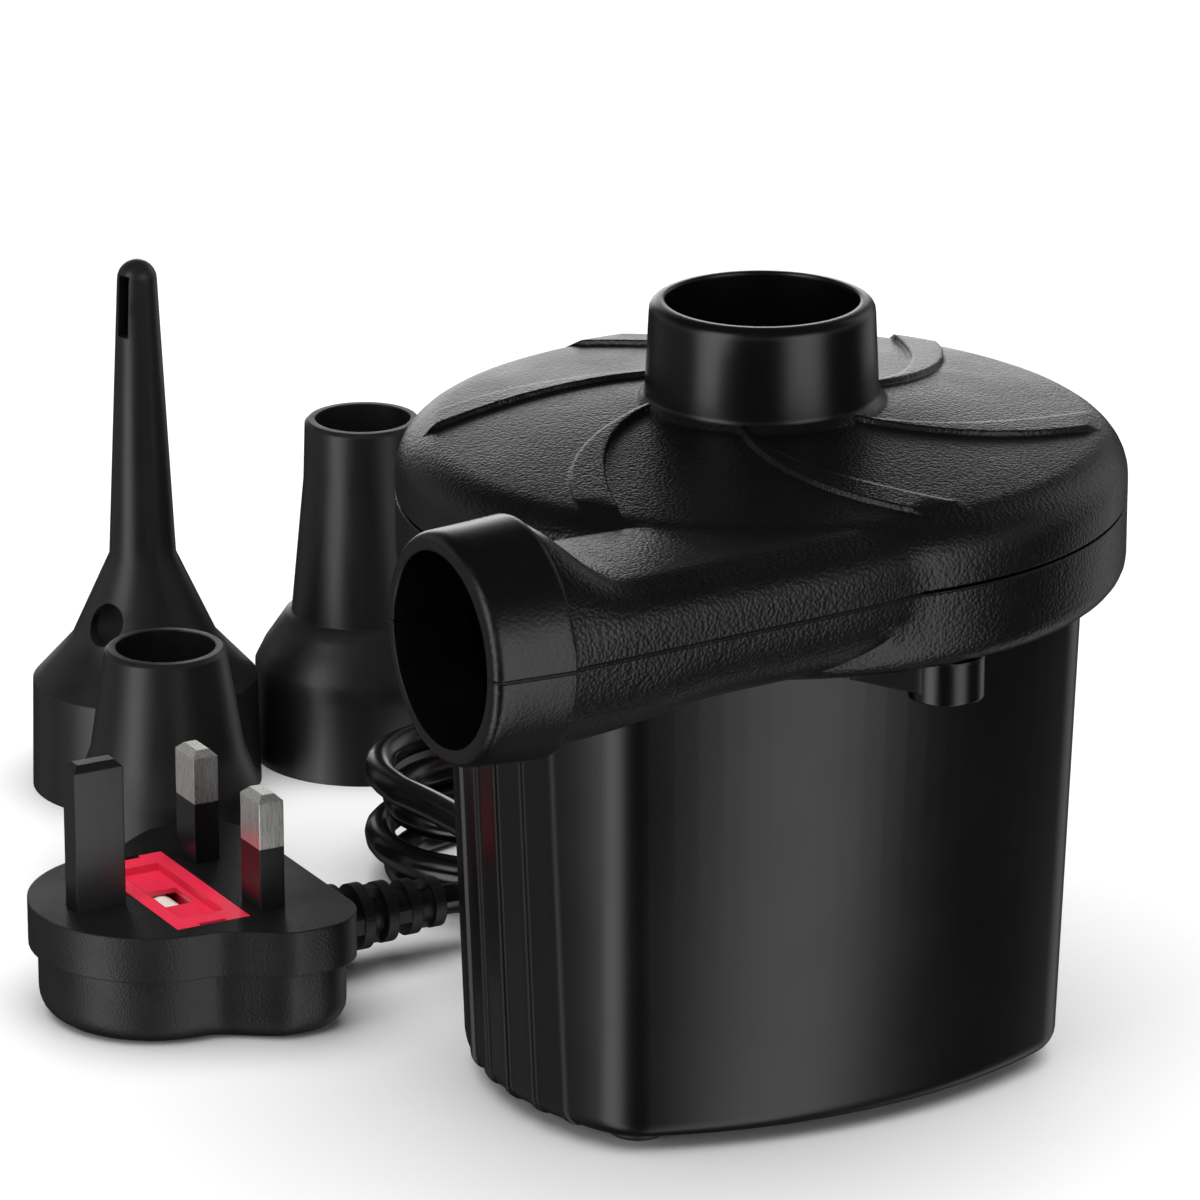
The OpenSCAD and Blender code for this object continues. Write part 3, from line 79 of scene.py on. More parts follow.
smooth_faces = bpy.data.node_groups.new("merge_and_smooth", "GeometryNodeTree")
smooth_faces.interface.new_socket("Geometry", in_out="INPUT", socket_type="NodeSocketGeometry")
smooth_faces.interface.new_socket("Sharp angle", in_out="INPUT", socket_type="NodeSocketFloat")
smooth_faces.interface.new_socket("Geometry", in_out="OUTPUT", socket_type="NodeSocketGeometry")
given = add(smooth_faces, "NodeGroupInput")
bare = add(smooth_faces, "GeometryNodeRemoveAttribute", {"Geometry": given.outputs[0], "Name": "custom_normal"})
merged = add(smooth_faces, "GeometryNodeMergeByDistance", {"Geometry": bare.outputs[0], "Distance": 1e-6})
angle = add(smooth_faces, "GeometryNodeInputMeshEdgeAngle")
sharp = add(smooth_faces, "FunctionNodeCompare",
    {0: angle.outputs["Unsigned Angle"], 1: given.outputs["Sharp angle"]},
    data_type="FLOAT", operation="GREATER_THAN")
faces = add(smooth_faces, "GeometryNodeSetShadeSmooth", {"Geometry": merged.outputs[0], "Shade Smooth": True},
    domain="FACE")
edges = add(smooth_faces, "GeometryNodeSetShadeSmooth",
    {"Geometry": faces.outputs[0], "Selection": sharp.outputs[0], "Shade Smooth": False}, domain="EDGE")
add(smooth_faces, "NodeGroupOutput", {0: edges.outputs[0]})
for name, node in nodes.items():
    modifier = node.modifiers.new("merge_and_smooth", "NODES")
    modifier.node_group = smooth_faces
    modifier[smooth_faces.interface.items_tree["Sharp angle"].identifier] = math.radians(32)

# Ground steel: bright, with fine grinding lines round the axis every 0.25 mm
ground_steel, tree, place = new_material("steel_ground")
lines = add(tree, "ShaderNodeTexWave", {"Vector": place, "Scale": 1 / (20 * 0.25 * mm), "Distortion": 1.5,
    "Detail": 2.0}, wave_type="BANDS", bands_direction="Z")
bump = add(tree, "ShaderNodeBump", {"Height": lines.outputs["Fac"], "Distance": 0.01 * mm, "Strength": 0.5})
rough = add(tree, "ShaderNodeMapRange", {"Value": lines.outputs["Fac"], "To Min": 0.22, "To Max": 0.36})
finish_with(ground_steel, {"Base Color": linear("#a9abae"), "Metallic": 1.0, "Roughness": rough.outputs[0],
    "Normal": bump.outputs[0]}, "motor_shaft")

# Punched electrical steel: a stack of 0.5 mm sheets with dark oxide, each edge catching the light
stack_steel, tree, place = new_material("electrical_steel_laminated")
sheets = add(tree, "ShaderNodeTexWave", {"Vector": place, "Scale": 1 / (20 * 0.5 * mm), "Distortion": 0.3},
    bands_direction="Z")
blue = add(tree, "ShaderNodeTexNoise", {"Vector": place, "Scale": 1 / (5 * mm), "Detail": 3.0})
tone = add(tree, "ShaderNodeMix", {0: blue.outputs["Fac"], 6: linear("#4d5056"), 7: linear("#686a6d")},
    data_type="RGBA")
bump = add(tree, "ShaderNodeBump", {"Height": sheets.outputs["Fac"], "Distance": 0.06 * mm, "Strength": 0.7})
rough = add(tree, "ShaderNodeMapRange", {"Value": sheets.outputs["Fac"], "To Min": 0.35, "To Max": 0.6})
finish_with(stack_steel, {"Base Color": tone.outputs[2], "Metallic": 1.0, "Roughness": rough.outputs[0],
    "Normal": bump.outputs[0]}, "armature_core")

# Turned copper: rosy and bright where the brushes run, with a brown film in streaks round the axis
turned_copper, tree, place = new_material("copper_turned")
rings = add(tree, "ShaderNodeTexWave", {"Vector": place, "Scale": 1 / (20 * 0.2 * mm), "Distortion": 1.0,
    "Detail": 3.0}, bands_direction="Z")
tone = add(tree, "ShaderNodeMix", {0: rings.outputs["Fac"], 6: linear("#a9623f"), 7: linear("#c98258")},
    data_type="RGBA")
bump = add(tree, "ShaderNodeBump", {"Height": rings.outputs["Fac"], "Distance": 0.01 * mm, "Strength": 0.6})
rough = add(tree, "ShaderNodeMapRange", {"Value": rings.outputs["Fac"], "To Min": 0.24, "To Max": 0.4})
finish_with(turned_copper, {"Base Color": tone.outputs[2], "Metallic": 1.0, "Roughness": rough.outputs[0],
    "Normal": bump.outputs[0]}, "commutator")

# Coils of the armature: enamelled copper wire, nine turns round each of the five teeth, machine-wound
# through the slots. The same coil repeats round the shaft.
core_low, core_high, slot_r, half_slot = 37.2, 61.2, 9.2, math.radians(36)


def coil_turn(index, outward, inward):
    """One closed turn: up one slot, over the tooth, down the next slot and under the tooth."""
    r = slot_r + outward
    reach, crown = half_slot - inward / r, 0.7 + 0.3 * index
    over = [(reach * (1 - 2 * t / 8), core_high + 0.3 + crown * math.sin(math.pi * t / 8) ** 0.6) for t in range(9)]
    under = [(-a, core_low + core_high - z) for a, z in over]
    return [Vector((r * math.cos(a), r * math.sin(a), z)) * mm for a, z in over + under]


coil = bpy.data.curves.new("armature_coil", "CURVE")
coil.dimensions = "3D"
turns = [(u, 1.25) for u in (-1.1, -0.37, 0.37, 1.1)] + [(u, 0.5) for u in (-1.56, -0.78, 0, 0.78, 1.56)]
for index, (outward, inward) in enumerate(turns):
    points = coil_turn(index, outward, inward)
    spline = coil.splines.new("POLY")
    spline.points.add(len(points) - 1)
    spline.use_cyclic_u = True
    for point, at in zip(spline.points, points):
        point.co = (*at, 1)

# Enamelled copper: warm red-brown under a clear glossy film
enamelled_copper, tree, place = new_material("copper_enamelled_wire")
film = add(tree, "ShaderNodeTexNoise", {"Vector": place, "Scale": 1 / (1.5 * mm), "Detail": 2.0})
tone = add(tree, "ShaderNodeMix", {0: film.outputs["Fac"], 6: linear("#9c5028"), 7: linear("#b96a38")},
    data_type="RGBA")
rough = add(tree, "ShaderNodeMapRange", {"Value": film.outputs["Fac"], "To Min": 0.22, "To Max": 0.36})
finish_with(enamelled_copper, {"Base Color": tone.outputs[2], "Metallic": 0.85, "Roughness": rough.outputs[0]},
    "armature_windings")


def bake_tree(name, data, tree, inputs):
    """Runs a Geometry Nodes tree on data and returns the result as a plain mesh object."""
    carrier = bpy.data.objects.new(name + "_carrier", data)
    bpy.context.scene.collection.objects.link(carrier)
    modifier = carrier.modifiers.new(name, "NODES")
    modifier.node_group = tree
    for label, value in inputs.items():
        modifier[tree.interface.items_tree[label].identifier] = value
    evaluated = carrier.evaluated_get(bpy.context.evaluated_depsgraph_get())
    piece = bpy.data.objects.new(name, bpy.data.meshes.new_from_object(evaluated))
    bpy.data.objects.remove(carrier)
    bpy.context.scene.collection.objects.link(piece)
    return piece


wind = bpy.data.node_groups.new("coil_on_each_tooth", "GeometryNodeTree")
for label, kind in [("Geometry", "Geometry"), ("Teeth", "Int"), ("Wire radius", "Float")]:
    wind.interface.new_socket(label, in_out="INPUT", socket_type="NodeSocket" + kind)
wind.interface.new_socket("Geometry", in_out="OUTPUT", socket_type="NodeSocketGeometry")
given = add(wind, "NodeGroupInput")
profile = add(wind, "GeometryNodeCurvePrimitiveCircle", {"Resolution": 8, "Radius": given.outputs["Wire radius"]})
wires = add(wind, "GeometryNodeCurveToMesh",
    {"Curve": given.outputs["Geometry"], "Profile Curve": profile.outputs[0]})
seats = add(wind, "GeometryNodePoints", {"Count": given.outputs["Teeth"]})
number = add(wind, "GeometryNodeInputIndex")
share = add(wind, "ShaderNodeMath", {0: number.outputs[0], 1: given.outputs["Teeth"]}, operation="DIVIDE")
turn = add(wind, "ShaderNodeMath", {0: share.outputs[0], 1: math.tau}, operation="MULTIPLY")
spin = add(wind, "ShaderNodeCombineXYZ", {"Z": turn.outputs[0]})
placed = add(wind, "GeometryNodeInstanceOnPoints", {"Points": seats.outputs[0], "Instance": wires.outputs[0],
    "Rotation": spin.outputs[0]})
real = add(wind, "GeometryNodeRealizeInstances", {"Geometry": placed.outputs[0]})
smooth = add(wind, "GeometryNodeSetShadeSmooth", {"Geometry": real.outputs[0], "Shade Smooth": True})
coated = add(wind, "GeometryNodeSetMaterial", {"Geometry": smooth.outputs[0], "Material": enamelled_copper})
add(wind, "NodeGroupOutput", {0: coated.outputs[0]})
armature_coils = bake_tree("armature_coils", coil, wind, {"Teeth": 5, "Wire radius": 0.34 * mm})
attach(armature_coils, "rotor")
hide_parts("armature_windings")

# Still part of the motor: a drawn steel can with two glued ferrite arcs and a bush pressed in its boss,
# closed by a moulded end bell with the rear bush, the brushes, their leaf springs and the terminals.
# Drawn zinc-plated steel: cool grey, with faint draw lines along the can and a cloudy plate
zinc_can, tree, place = new_material("steel_drawn_zinc_plated")
drawn = add(tree, "ShaderNodeMapping", {"Vector": place, "Scale": (1, 1, 0.06)})
streaks = add(tree, "ShaderNodeTexNoise", {"Vector": drawn.outputs[0], "Scale": 1 / (0.6 * mm), "Detail": 3.0})
cloud = add(tree, "ShaderNodeTexNoise", {"Vector": place, "Scale": 1 / (8 * mm), "Detail": 4.0})
tone = add(tree, "ShaderNodeMix", {0: cloud.outputs["Fac"], 6: linear("#8f9499"), 7: linear("#b3b6b8")},
    data_type="RGBA")
bump = add(tree, "ShaderNodeBump", {"Height": streaks.outputs["Fac"], "Distance": 0.02 * mm, "Strength": 0.4})
rough = add(tree, "ShaderNodeMapRange", {"Value": cloud.outputs["Fac"], "To Min": 0.28, "To Max": 0.48})
finish_with(zinc_can, {"Base Color": tone.outputs[2], "Metallic": 1.0, "Roughness": rough.outputs[0],
    "Normal": bump.outputs[0]}, "motor_can")

# Sintered ferrite: dull charcoal, ground on the faces, with small pits
ferrite, tree, place = new_material("ferrite_sintered")
pits = add(tree, "ShaderNodeTexNoise", {"Vector": place, "Scale": 1 / (0.5 * mm), "Detail": 4.0})
tone = add(tree, "ShaderNodeMix", {0: pits.outputs["Fac"], 6: linear("#232427"), 7: linear("#3a3b3e")},
    data_type="RGBA")
bump = add(tree, "ShaderNodeBump", {"Height": pits.outputs["Fac"], "Distance": 0.06 * mm, "Strength": 0.6})
finish_with(ferrite, {"Base Color": tone.outputs[2], "Roughness": 0.62, "IOR": 1.9, "Normal": bump.outputs[0]},
    "field_magnets")

# Sintered bronze: oily brown-gold with open pores
bronze, tree, place = new_material("bronze_sintered")
pores = add(tree, "ShaderNodeTexVoronoi", {"Vector": place, "Scale": 1 / (0.3 * mm)})
tone = add(tree, "ShaderNodeMix", {0: pores.outputs["Distance"], 6: linear("#6e4c26"), 7: linear("#a07840")},
    data_type="RGBA")
rough = add(tree, "ShaderNodeMapRange", {"Value": pores.outputs["Distance"], "To Min": 0.5, "To Max": 0.34})
bump = add(tree, "ShaderNodeBump", {"Height": pores.outputs["Distance"], "Distance": 0.03 * mm, "Strength": 0.5})
finish_with(bronze, {"Base Color": tone.outputs[2], "Metallic": 1.0, "Roughness": rough.outputs[0],
    "Normal": bump.outputs[0]}, "front_bush", "rear_bush")

# Pressed carbon: soft dark grey with a graphite sheen
carbon, tree, place = new_material("carbon_graphite_pressed")
grit = add(tree, "ShaderNodeTexNoise", {"Vector": place, "Scale": 1 / (0.25 * mm), "Detail": 3.0})
tone = add(tree, "ShaderNodeMix", {0: grit.outputs["Fac"], 6: linear("#1d1d1f"), 7: linear("#343437")},
    data_type="RGBA")
bump = add(tree, "ShaderNodeBump", {"Height": grit.outputs["Fac"], "Distance": 0.03 * mm, "Strength": 0.5})
finish_with(carbon, {"Base Color": tone.outputs[2], "Metallic": 0.35, "Roughness": 0.5, "Normal": bump.outputs[0]},
    "carbon_brushes")

# Rolled brass strip: pale yellow with rolling lines, used for springs and tags
brass_strip, tree, place = new_material("brass_rolled_strip")
rolled = add(tree, "ShaderNodeMapping", {"Vector": place, "Scale": (0.1, 1, 1)})
lines = add(tree, "ShaderNodeTexNoise", {"Vector": rolled.outputs[0], "Scale": 1 / (0.3 * mm), "Detail": 3.0})
tone = add(tree, "ShaderNodeMix", {0: lines.outputs["Fac"], 6: linear("#b08d4a"), 7: linear("#d4b56c")},
    data_type="RGBA")
rough = add(tree, "ShaderNodeMapRange", {"Value": lines.outputs["Fac"], "To Min": 0.24, "To Max": 0.42})
bump = add(tree, "ShaderNodeBump", {"Height": lines.outputs["Fac"], "Distance": 0.01 * mm, "Strength": 0.5})
finish_with(brass_strip, {"Base Color": tone.outputs[2], "Metallic": 1.0, "Roughness": rough.outputs[0],
    "Normal": bump.outputs[0]}, "brush_springs", "motor_terminals", "switch_terminals", "impeller_nut")

# Glass-filled nylon: dull black with pale fibre flecks, for what runs warm or fast
filled_nylon, tree, place = new_material("nylon_glass_filled")
fibres = add(tree, "ShaderNodeTexNoise", {"Vector": place, "Scale": 1 / (0.35 * mm), "Detail": 5.0,
    "Distortion": 1.2})
tone = add(tree, "ShaderNodeMix", {0: fibres.outputs["Fac"], 6: linear("#0b0b0c"), 7: linear("#1c1c1e")},
    data_type="RGBA")
rough = add(tree, "ShaderNodeMapRange", {"Value": fibres.outputs["Fac"], "To Min": 0.36, "To Max": 0.58})
round_edge = add(tree, "ShaderNodeBevel", {"Radius": 0.3 * mm}, samples=4)
bump = add(tree, "ShaderNodeBump", {"Height": fibres.outputs["Fac"], "Distance": 0.03 * mm, "Strength": 0.5,
    "Normal": round_edge.outputs[0]})
finish_with(filled_nylon, {"Base Color": tone.outputs[2], "Roughness": rough.outputs[0], "IOR": 1.53,
    "Normal": bump.outputs[0]}, "motor_end_bell", "impeller")

# Rectifier board: brown phenolic paper, soldered to the motor terminals, with four moulded diodes and a
# boxed film capacitor on its underside.
# Phenolic paper: tan, with fibres a few tenths of a millimetre wide
phenolic, tree, place = new_material("phenolic_paper_board")
fibres = add(tree, "ShaderNodeTexNoise", {"Vector": place, "Scale": 1 / (0.6 * mm), "Detail": 5.0,
    "Distortion": 0.8})
tone = add(tree, "ShaderNodeMix", {0: fibres.outputs["Fac"], 6: linear("#6f4f22"), 7: linear("#a37c40")},
    data_type="RGBA")
rough = add(tree, "ShaderNodeMapRange", {"Value": fibres.outputs["Fac"], "To Min": 0.4, "To Max": 0.6})
finish_with(phenolic, {"Base Color": tone.outputs[2], "Roughness": rough.outputs[0], "IOR": 1.6}, "rectifier_board")

# Moulded epoxy: matt black, with a printed grey band at one end of each diode
epoxy, tree, place = new_material("epoxy_moulded")
axes = add(tree, "ShaderNodeSeparateXYZ", {0: place})
from_end = add(tree, "ShaderNodeMath", {0: axes.outputs["X"], 1: -3.7 * mm}, operation="SUBTRACT")
off_band = add(tree, "ShaderNodeMath", {0: from_end.outputs[0]}, operation="ABSOLUTE")
band = add(tree, "ShaderNodeMapRange", {"Value": off_band.outputs[0], "From Min": 0.42 * mm, "From Max": 0.48 * mm,
    "To Min": 1.0, "To Max": 0.0})
grit = add(tree, "ShaderNodeTexNoise", {"Vector": place, "Scale": 1 / (0.3 * mm), "Detail": 2.0})
body = add(tree, "ShaderNodeMix", {0: grit.outputs["Fac"], 6: linear("#131314"), 7: linear("#1f1f21")},
    data_type="RGBA")
tone = add(tree, "ShaderNodeMix", {0: band.outputs[0], 6: body.outputs[2], 7: linear("#b9bab8")}, data_type="RGBA")
rough = add(tree, "ShaderNodeMapRange", {"Value": grit.outputs["Fac"], "To Min": 0.42, "To Max": 0.58})
finish_with(epoxy, {"Base Color": tone.outputs[2], "Roughness": rough.outputs[0], "IOR": 1.55}, "rectifier_diodes")

# Moulded polyester case: mustard, smooth, slightly cloudy
polyester, tree, place = new_material("polyester_moulded_case")
cloud = add(tree, "ShaderNodeTexNoise", {"Vector": place, "Scale": 1 / (3 * mm), "Detail": 4.0})
tone = add(tree, "ShaderNodeMix", {0: cloud.outputs["Fac"], 6: linear("#b98a22"), 7: linear("#cfa03a")},
    data_type="RGBA")
rough = add(tree, "ShaderNodeMapRange", {"Value": cloud.outputs["Fac"], "To Min": 0.28, "To Max": 0.42})
round_edge = add(tree, "ShaderNodeBevel", {"Radius": 0.4 * mm}, samples=4)
finish_with(polyester, {"Base Color": tone.outputs[2], "Roughness": rough.outputs[0], "IOR": 1.56,
    "Normal": round_edge.outputs[0]}, "suppression_capacitor")

# Fan housing: the cover and the lower shell, moulded in black ABS in two halves and screwed together from
# below. The tool is etched with a leather grain, and polished where the intake and the screw bosses are.
# Grained ABS: black pebbles about half a millimetre across that glint, flatter on the outlet collar; the
# polished places are smooth and satin, and the joint of the halves shows as a fine groove. The edges of the
# swirl bands on the lid are rounded more than those beside the joint
grain_size, grain_depth, groove_half = 0.55 * mm, 0.13 * mm, 0.36 * mm
joint_round, band_round, lid_shoulder = 0.35 * mm, 0.9 * mm, 91 * mm
intake_foot, shell_underside, parting_height = 101.8 * mm, 75.3 * mm, 87.5 * mm
duct_start, collar_start = -22 * mm, -61.9 * mm
abs_leather, tree, place = new_material("abs_moulded_leather_grain")
axes = add(tree, "ShaderNodeSeparateXYZ", {0: place})
intake = add(tree, "ShaderNodeMapRange", {"Value": axes.outputs["Z"], "From Min": intake_foot - 0.4 * mm,
    "From Max": intake_foot + 0.4 * mm, "To Min": 1.0, "To Max": 0.0})
under = add(tree, "ShaderNodeMapRange", {"Value": axes.outputs["Z"], "From Min": shell_underside - 0.3 * mm,
    "From Max": shell_underside + 0.3 * mm})
duct = add(tree, "ShaderNodeMapRange", {"Value": axes.outputs["X"], "From Min": duct_start + 2 * mm,
    "From Max": duct_start - 2 * mm})
low = add(tree, "ShaderNodeMath", {0: under.outputs[0], 1: duct.outputs[0]}, operation="MAXIMUM")
grained = add(tree, "ShaderNodeMath", {0: intake.outputs[0], 1: low.outputs[0]}, operation="MULTIPLY")
collar = add(tree, "ShaderNodeMapRange", {"Value": axes.outputs["X"], "From Min": collar_start - 0.5 * mm,
    "From Max": collar_start + 0.5 * mm, "To Min": 0.4})
warp = add(tree, "ShaderNodeTexNoise", {"Vector": place, "Scale": 1 / (2.2 * mm), "Detail": 2.0})
shift = add(tree, "ShaderNodeVectorMath", {0: warp.outputs["Color"], 1: [0.6 * mm] * 3},
    operation="MULTIPLY")
where = add(tree, "ShaderNodeVectorMath", {0: place, 1: shift.outputs[0]}, operation="ADD")
cells = add(tree, "ShaderNodeTexVoronoi", {"Vector": where.outputs[0], "Scale": 1 / grain_size, "Smoothness": 0.4},
    feature="SMOOTH_F1")
share = add(tree, "ShaderNodeMath", {0: grained.outputs[0], 1: collar.outputs[0]}, operation="MULTIPLY")
off_part = add(tree, "ShaderNodeMath", {0: axes.outputs["Z"], 1: parting_height}, operation="SUBTRACT")
from_part = add(tree, "ShaderNodeMath", {0: off_part.outputs[0]}, operation="ABSOLUTE")
groove = add(tree, "ShaderNodeMapRange", {"Value": from_part.outputs[0], "From Min": 0.1 * mm,
    "From Max": groove_half, "To Min": 2.8, "To Max": 0.0}, interpolation_type="SMOOTHSTEP")
height = add(tree, "ShaderNodeMath", {0: cells.outputs["Distance"], 1: share.outputs[0], 2: groove.outputs[0]},
    operation="MULTIPLY_ADD")
round_by = add(tree, "ShaderNodeMapRange", {"Value": axes.outputs["Z"], "From Min": lid_shoulder - 1 * mm,
    "From Max": lid_shoulder + 1 * mm, "To Min": joint_round, "To Max": band_round})
round_edge = add(tree, "ShaderNodeBevel", {"Radius": round_by.outputs[0]}, samples=8)
bump = add(tree, "ShaderNodeBump", {"Height": height.outputs[0], "Distance": grain_depth, "Strength": 0.55,
    "Normal": round_edge.outputs[0]}, invert=True)
blotch = add(tree, "ShaderNodeTexNoise", {"Vector": place, "Scale": 1 / (14 * mm), "Detail": 4.0})
matt = add(tree, "ShaderNodeMapRange", {"Value": blotch.outputs["Fac"], "From Min": 0.3, "From Max": 0.7,
    "To Min": 0.3, "To Max": 0.38})
rough = add(tree, "ShaderNodeMix", {0: grained.outputs[0], 2: 0.27, 3: matt.outputs[0]}, data_type="FLOAT")
tone = add(tree, "ShaderNodeMix", {0: blotch.outputs["Fac"], 6: linear("#040405"), 7: linear("#070708")},
    data_type="RGBA")
finish_with(abs_leather, {"Base Color": tone.outputs[2], "Roughness": rough.outputs[0], "IOR": 1.48,
    "Normal": bump.outputs[0]}, "top_cover", "volute_base")

# Gasket, feet, gland and tie: black rubber, the gasket cut from sheet and the others moulded. The feet push
# into the screw posts, the gland snaps into the back wall, and the tie is a strap round the hank.
# Moulded rubber: deep matt black with a fine dusty bloom
rubber, tree, place = new_material("rubber_moulded")
bloom = add(tree, "ShaderNodeTexNoise", {"Vector": place, "Scale": 1 / (0.5 * mm), "Detail": 4.0})
tone = add(tree, "ShaderNodeMix", {0: bloom.outputs["Fac"], 6: linear("#0b0b0b"), 7: linear("#171717")},
    data_type="RGBA")
rough = add(tree, "ShaderNodeMapRange", {"Value": bloom.outputs["Fac"], "To Min": 0.45, "To Max": 0.62})
round_edge = add(tree, "ShaderNodeBevel", {"Radius": 0.3 * mm}, samples=4)
bump = add(tree, "ShaderNodeBump", {"Height": bloom.outputs["Fac"], "Distance": 0.03 * mm, "Strength": 0.4,
    "Normal": round_edge.outputs[0]})
finish_with(rubber, {"Base Color": tone.outputs[2], "Roughness": rough.outputs[0], "IOR": 1.5,
    "Normal": bump.outputs[0]}, "motor_gasket", "rubber_feet", "cord_gland", "cord_tie", "plug_strain_relief")

# Screws: cross-head, cold-headed steel with a bright zinc plate. Two hold the motor, three close the fan
# housing and four hold the motor housing, all driven from below or inside.
# Bright zinc plate: bluish silver with a faint yellow cast in patches
zinc_plate, tree, place = new_material("steel_zinc_passivated")
patch = add(tree, "ShaderNodeTexNoise", {"Vector": place, "Scale": 1 / (2 * mm), "Detail": 3.0})
tone = add(tree, "ShaderNodeMix", {0: patch.outputs["Fac"], 6: linear("#a6adb5"), 7: linear("#c4c3b8")},
    data_type="RGBA")
rough = add(tree, "ShaderNodeMapRange", {"Value": patch.outputs["Fac"], "To Min": 0.22, "To Max": 0.4})
round_edge = add(tree, "ShaderNodeBevel", {"Radius": 0.25 * mm}, samples=4)
finish_with(zinc_plate, {"Base Color": tone.outputs[2], "Metallic": 1.0, "Roughness": rough.outputs[0],
    "Normal": round_edge.outputs[0]}, "motor_screws", "cover_screws", "housing_screws")

# Motor housing and switch: moulded black ABS off a polished tool, screwed up under the fan housing from
# inside the feet. The rocker switch snaps into a flat panel on the back.
# Polished ABS: satin black, with a faint long waviness that softens its highlights
abs_satin, tree, place = new_material("abs_moulded_satin")
grain = add(tree, "ShaderNodeTexNoise", {"Vector": place, "Scale": 1 / (0.4 * mm), "Detail": 3.0})
round_edge = add(tree, "ShaderNodeBevel", {"Radius": 0.4 * mm}, samples=4)
bump = add(tree, "ShaderNodeBump", {"Height": grain.outputs["Fac"], "Distance": 0.02 * mm, "Strength": 0.3,
    "Normal": round_edge.outputs[0]})
blotch = add(tree, "ShaderNodeTexNoise", {"Vector": place, "Scale": 1 / (18 * mm), "Detail": 4.0})
rough = add(tree, "ShaderNodeMapRange", {"Value": blotch.outputs["Fac"], "From Min": 0.2, "From Max": 0.8,
    "To Min": 0.27, "To Max": 0.34})
tone = add(tree, "ShaderNodeMix", {0: blotch.outputs["Fac"], 6: linear("#070708"), 7: linear("#0b0b0c")},
    data_type="RGBA")
finish_with(abs_satin, {"Base Color": tone.outputs[2], "Roughness": rough.outputs[0], "IOR": 1.45,
    "Normal": bump.outputs[0]}, "motor_housing", "switch_body")

# Polycarbonate rocker: glossier than the housing, with fine rub marks across the ends
polycarbonate, tree, place = new_material("polycarbonate_moulded_gloss")
rub = add(tree, "ShaderNodeMapping", {"Vector": place, "Scale": (0.15, 1, 1)})
marks = add(tree, "ShaderNodeTexNoise", {"Vector": rub.outputs[0], "Scale": 1 / (0.5 * mm), "Detail": 4.0})
rough = add(tree, "ShaderNodeMapRange", {"Value": marks.outputs["Fac"], "To Min": 0.14, "To Max": 0.28})
tone = add(tree, "ShaderNodeMix", {0: marks.outputs["Fac"], 6: linear("#0c0c0d"), 7: linear("#131314")},
    data_type="RGBA")
round_edge = add(tree, "ShaderNodeBevel", {"Radius": 0.4 * mm}, samples=4)
finish_with(polycarbonate, {"Base Color": tone.outputs[2], "Roughness": rough.outputs[0], "IOR": 1.58,
    "Normal": round_edge.outputs[0]}, "switch_rocker")

# Inner wires: stranded copper in coloured PVC, brown for live and blue for neutral, soldered to the board
# and crimped to the switch tags.
for name, dark, pale, wires in [("brown", "#4a2a16", "#5d3820", ("live_wire", "switched_wire")),
        ("blue", "#1d3f86", "#2b559f", ("neutral_wire",))]:
    # Extruded PVC: even colour with a soft waxy gloss
    pvc_wire, tree, place = new_material("pvc_extruded_" + name)
    wax = add(tree, "ShaderNodeTexNoise", {"Vector": place, "Scale": 1 / (1.2 * mm), "Detail": 3.0})
    tone = add(tree, "ShaderNodeMix", {0: wax.outputs["Fac"], 6: linear(dark), 7: linear(pale)}, data_type="RGBA")
    rough = add(tree, "ShaderNodeMapRange", {"Value": wax.outputs["Fac"], "To Min": 0.28, "To Max": 0.42})
    finish_with(pvc_wire, {"Base Color": tone.outputs[2], "Roughness": rough.outputs[0], "IOR": 1.53}, *wires)

# Mains lead: two stranded cores in a round black PVC sheath, extruded, in one length from the gland
# to the plug. What isn't in use is folded into a hank that lies flat behind the pump, held by a tie.
cord_r = 2.4 * mm


def hank_point(loop, ring):
    """A point of the hank: four loops, one a layer, drawn in and lifted at the waist."""
    phase, side, t = ring / 24, ring // 6, ring / 6 - ring // 6
    spread = min(max((phase - 0.25) / 0.75, 0), 1)
    r = 14.6 + 5.4 * (spread if loop % 2 else 1 - spread)
    rise = min(phase / 0.25, 1)
    climb = rise * rise * (3 - 2 * rise) - 1 if loop else 0
    x = 36 * (2 * t - 1)
    waist = (1 + math.cos(math.pi * (2 * t - 1))) / 2 if side % 2 == 0 else 0
    z = 2.4 + 5.4 * (loop + climb) + 1.6 * waist
    turn = math.pi * t
    return [(x, -r + 5 * waist, z), (36 + r * math.sin(turn), -r * math.cos(turn), z),
        (-x, r - 5 * waist, z), (-36 - r * math.sin(turn), r * math.cos(turn), z)][side]


def on_floor(p):
    """A point of the hank's own frame, turned 8 degrees and moved behind the pump."""
    c, s = math.cos(math.radians(8)), math.sin(math.radians(8))
    return Vector((37 + p[0] * c - p[1] * s, 88 + p[0] * s + p[1] * c, p[2]))


loops = [hank_point(k, j) for k in range(4) for j in range(24 if k < 3 else 22)]
hank = [on_floor(p) for p in [(loops[0][0] - 4.8, *loops[0][1:]), *loops,
    (loops[-1][0], loops[-1][1] - 4.8, loops[-1][2])]]
start_way, end_way = (hank[1] - hank[0]).normalized(), (hank[-1] - hank[-2]).normalized()
tail = [(-22, 60, 8), (-18.5, 60, 7.9), (-14.5, 60.3, 7), (-10.5, 60.8, 5.4), (-6.5, 61.4, 3.6), (-4, 61.9, 2.7),
    hank[0] - start_way * 1.5]
lead = [hank[-1] + end_way * 4, (-15.9, 66.79, 18.6), (-15.5, 59.79, 18.6), (-15.5, 54.79, 18.6)]
route = [Vector(p) * mm for p in [*tail, *hank, *lead]][::-1]
curve = bpy.data.curves.new("mains_lead", "CURVE")
curve.dimensions = "3D"
curve.resolution_u = 6
curve.bevel_depth = cord_r
curve.bevel_resolution = 5
curve.use_fill_caps = True
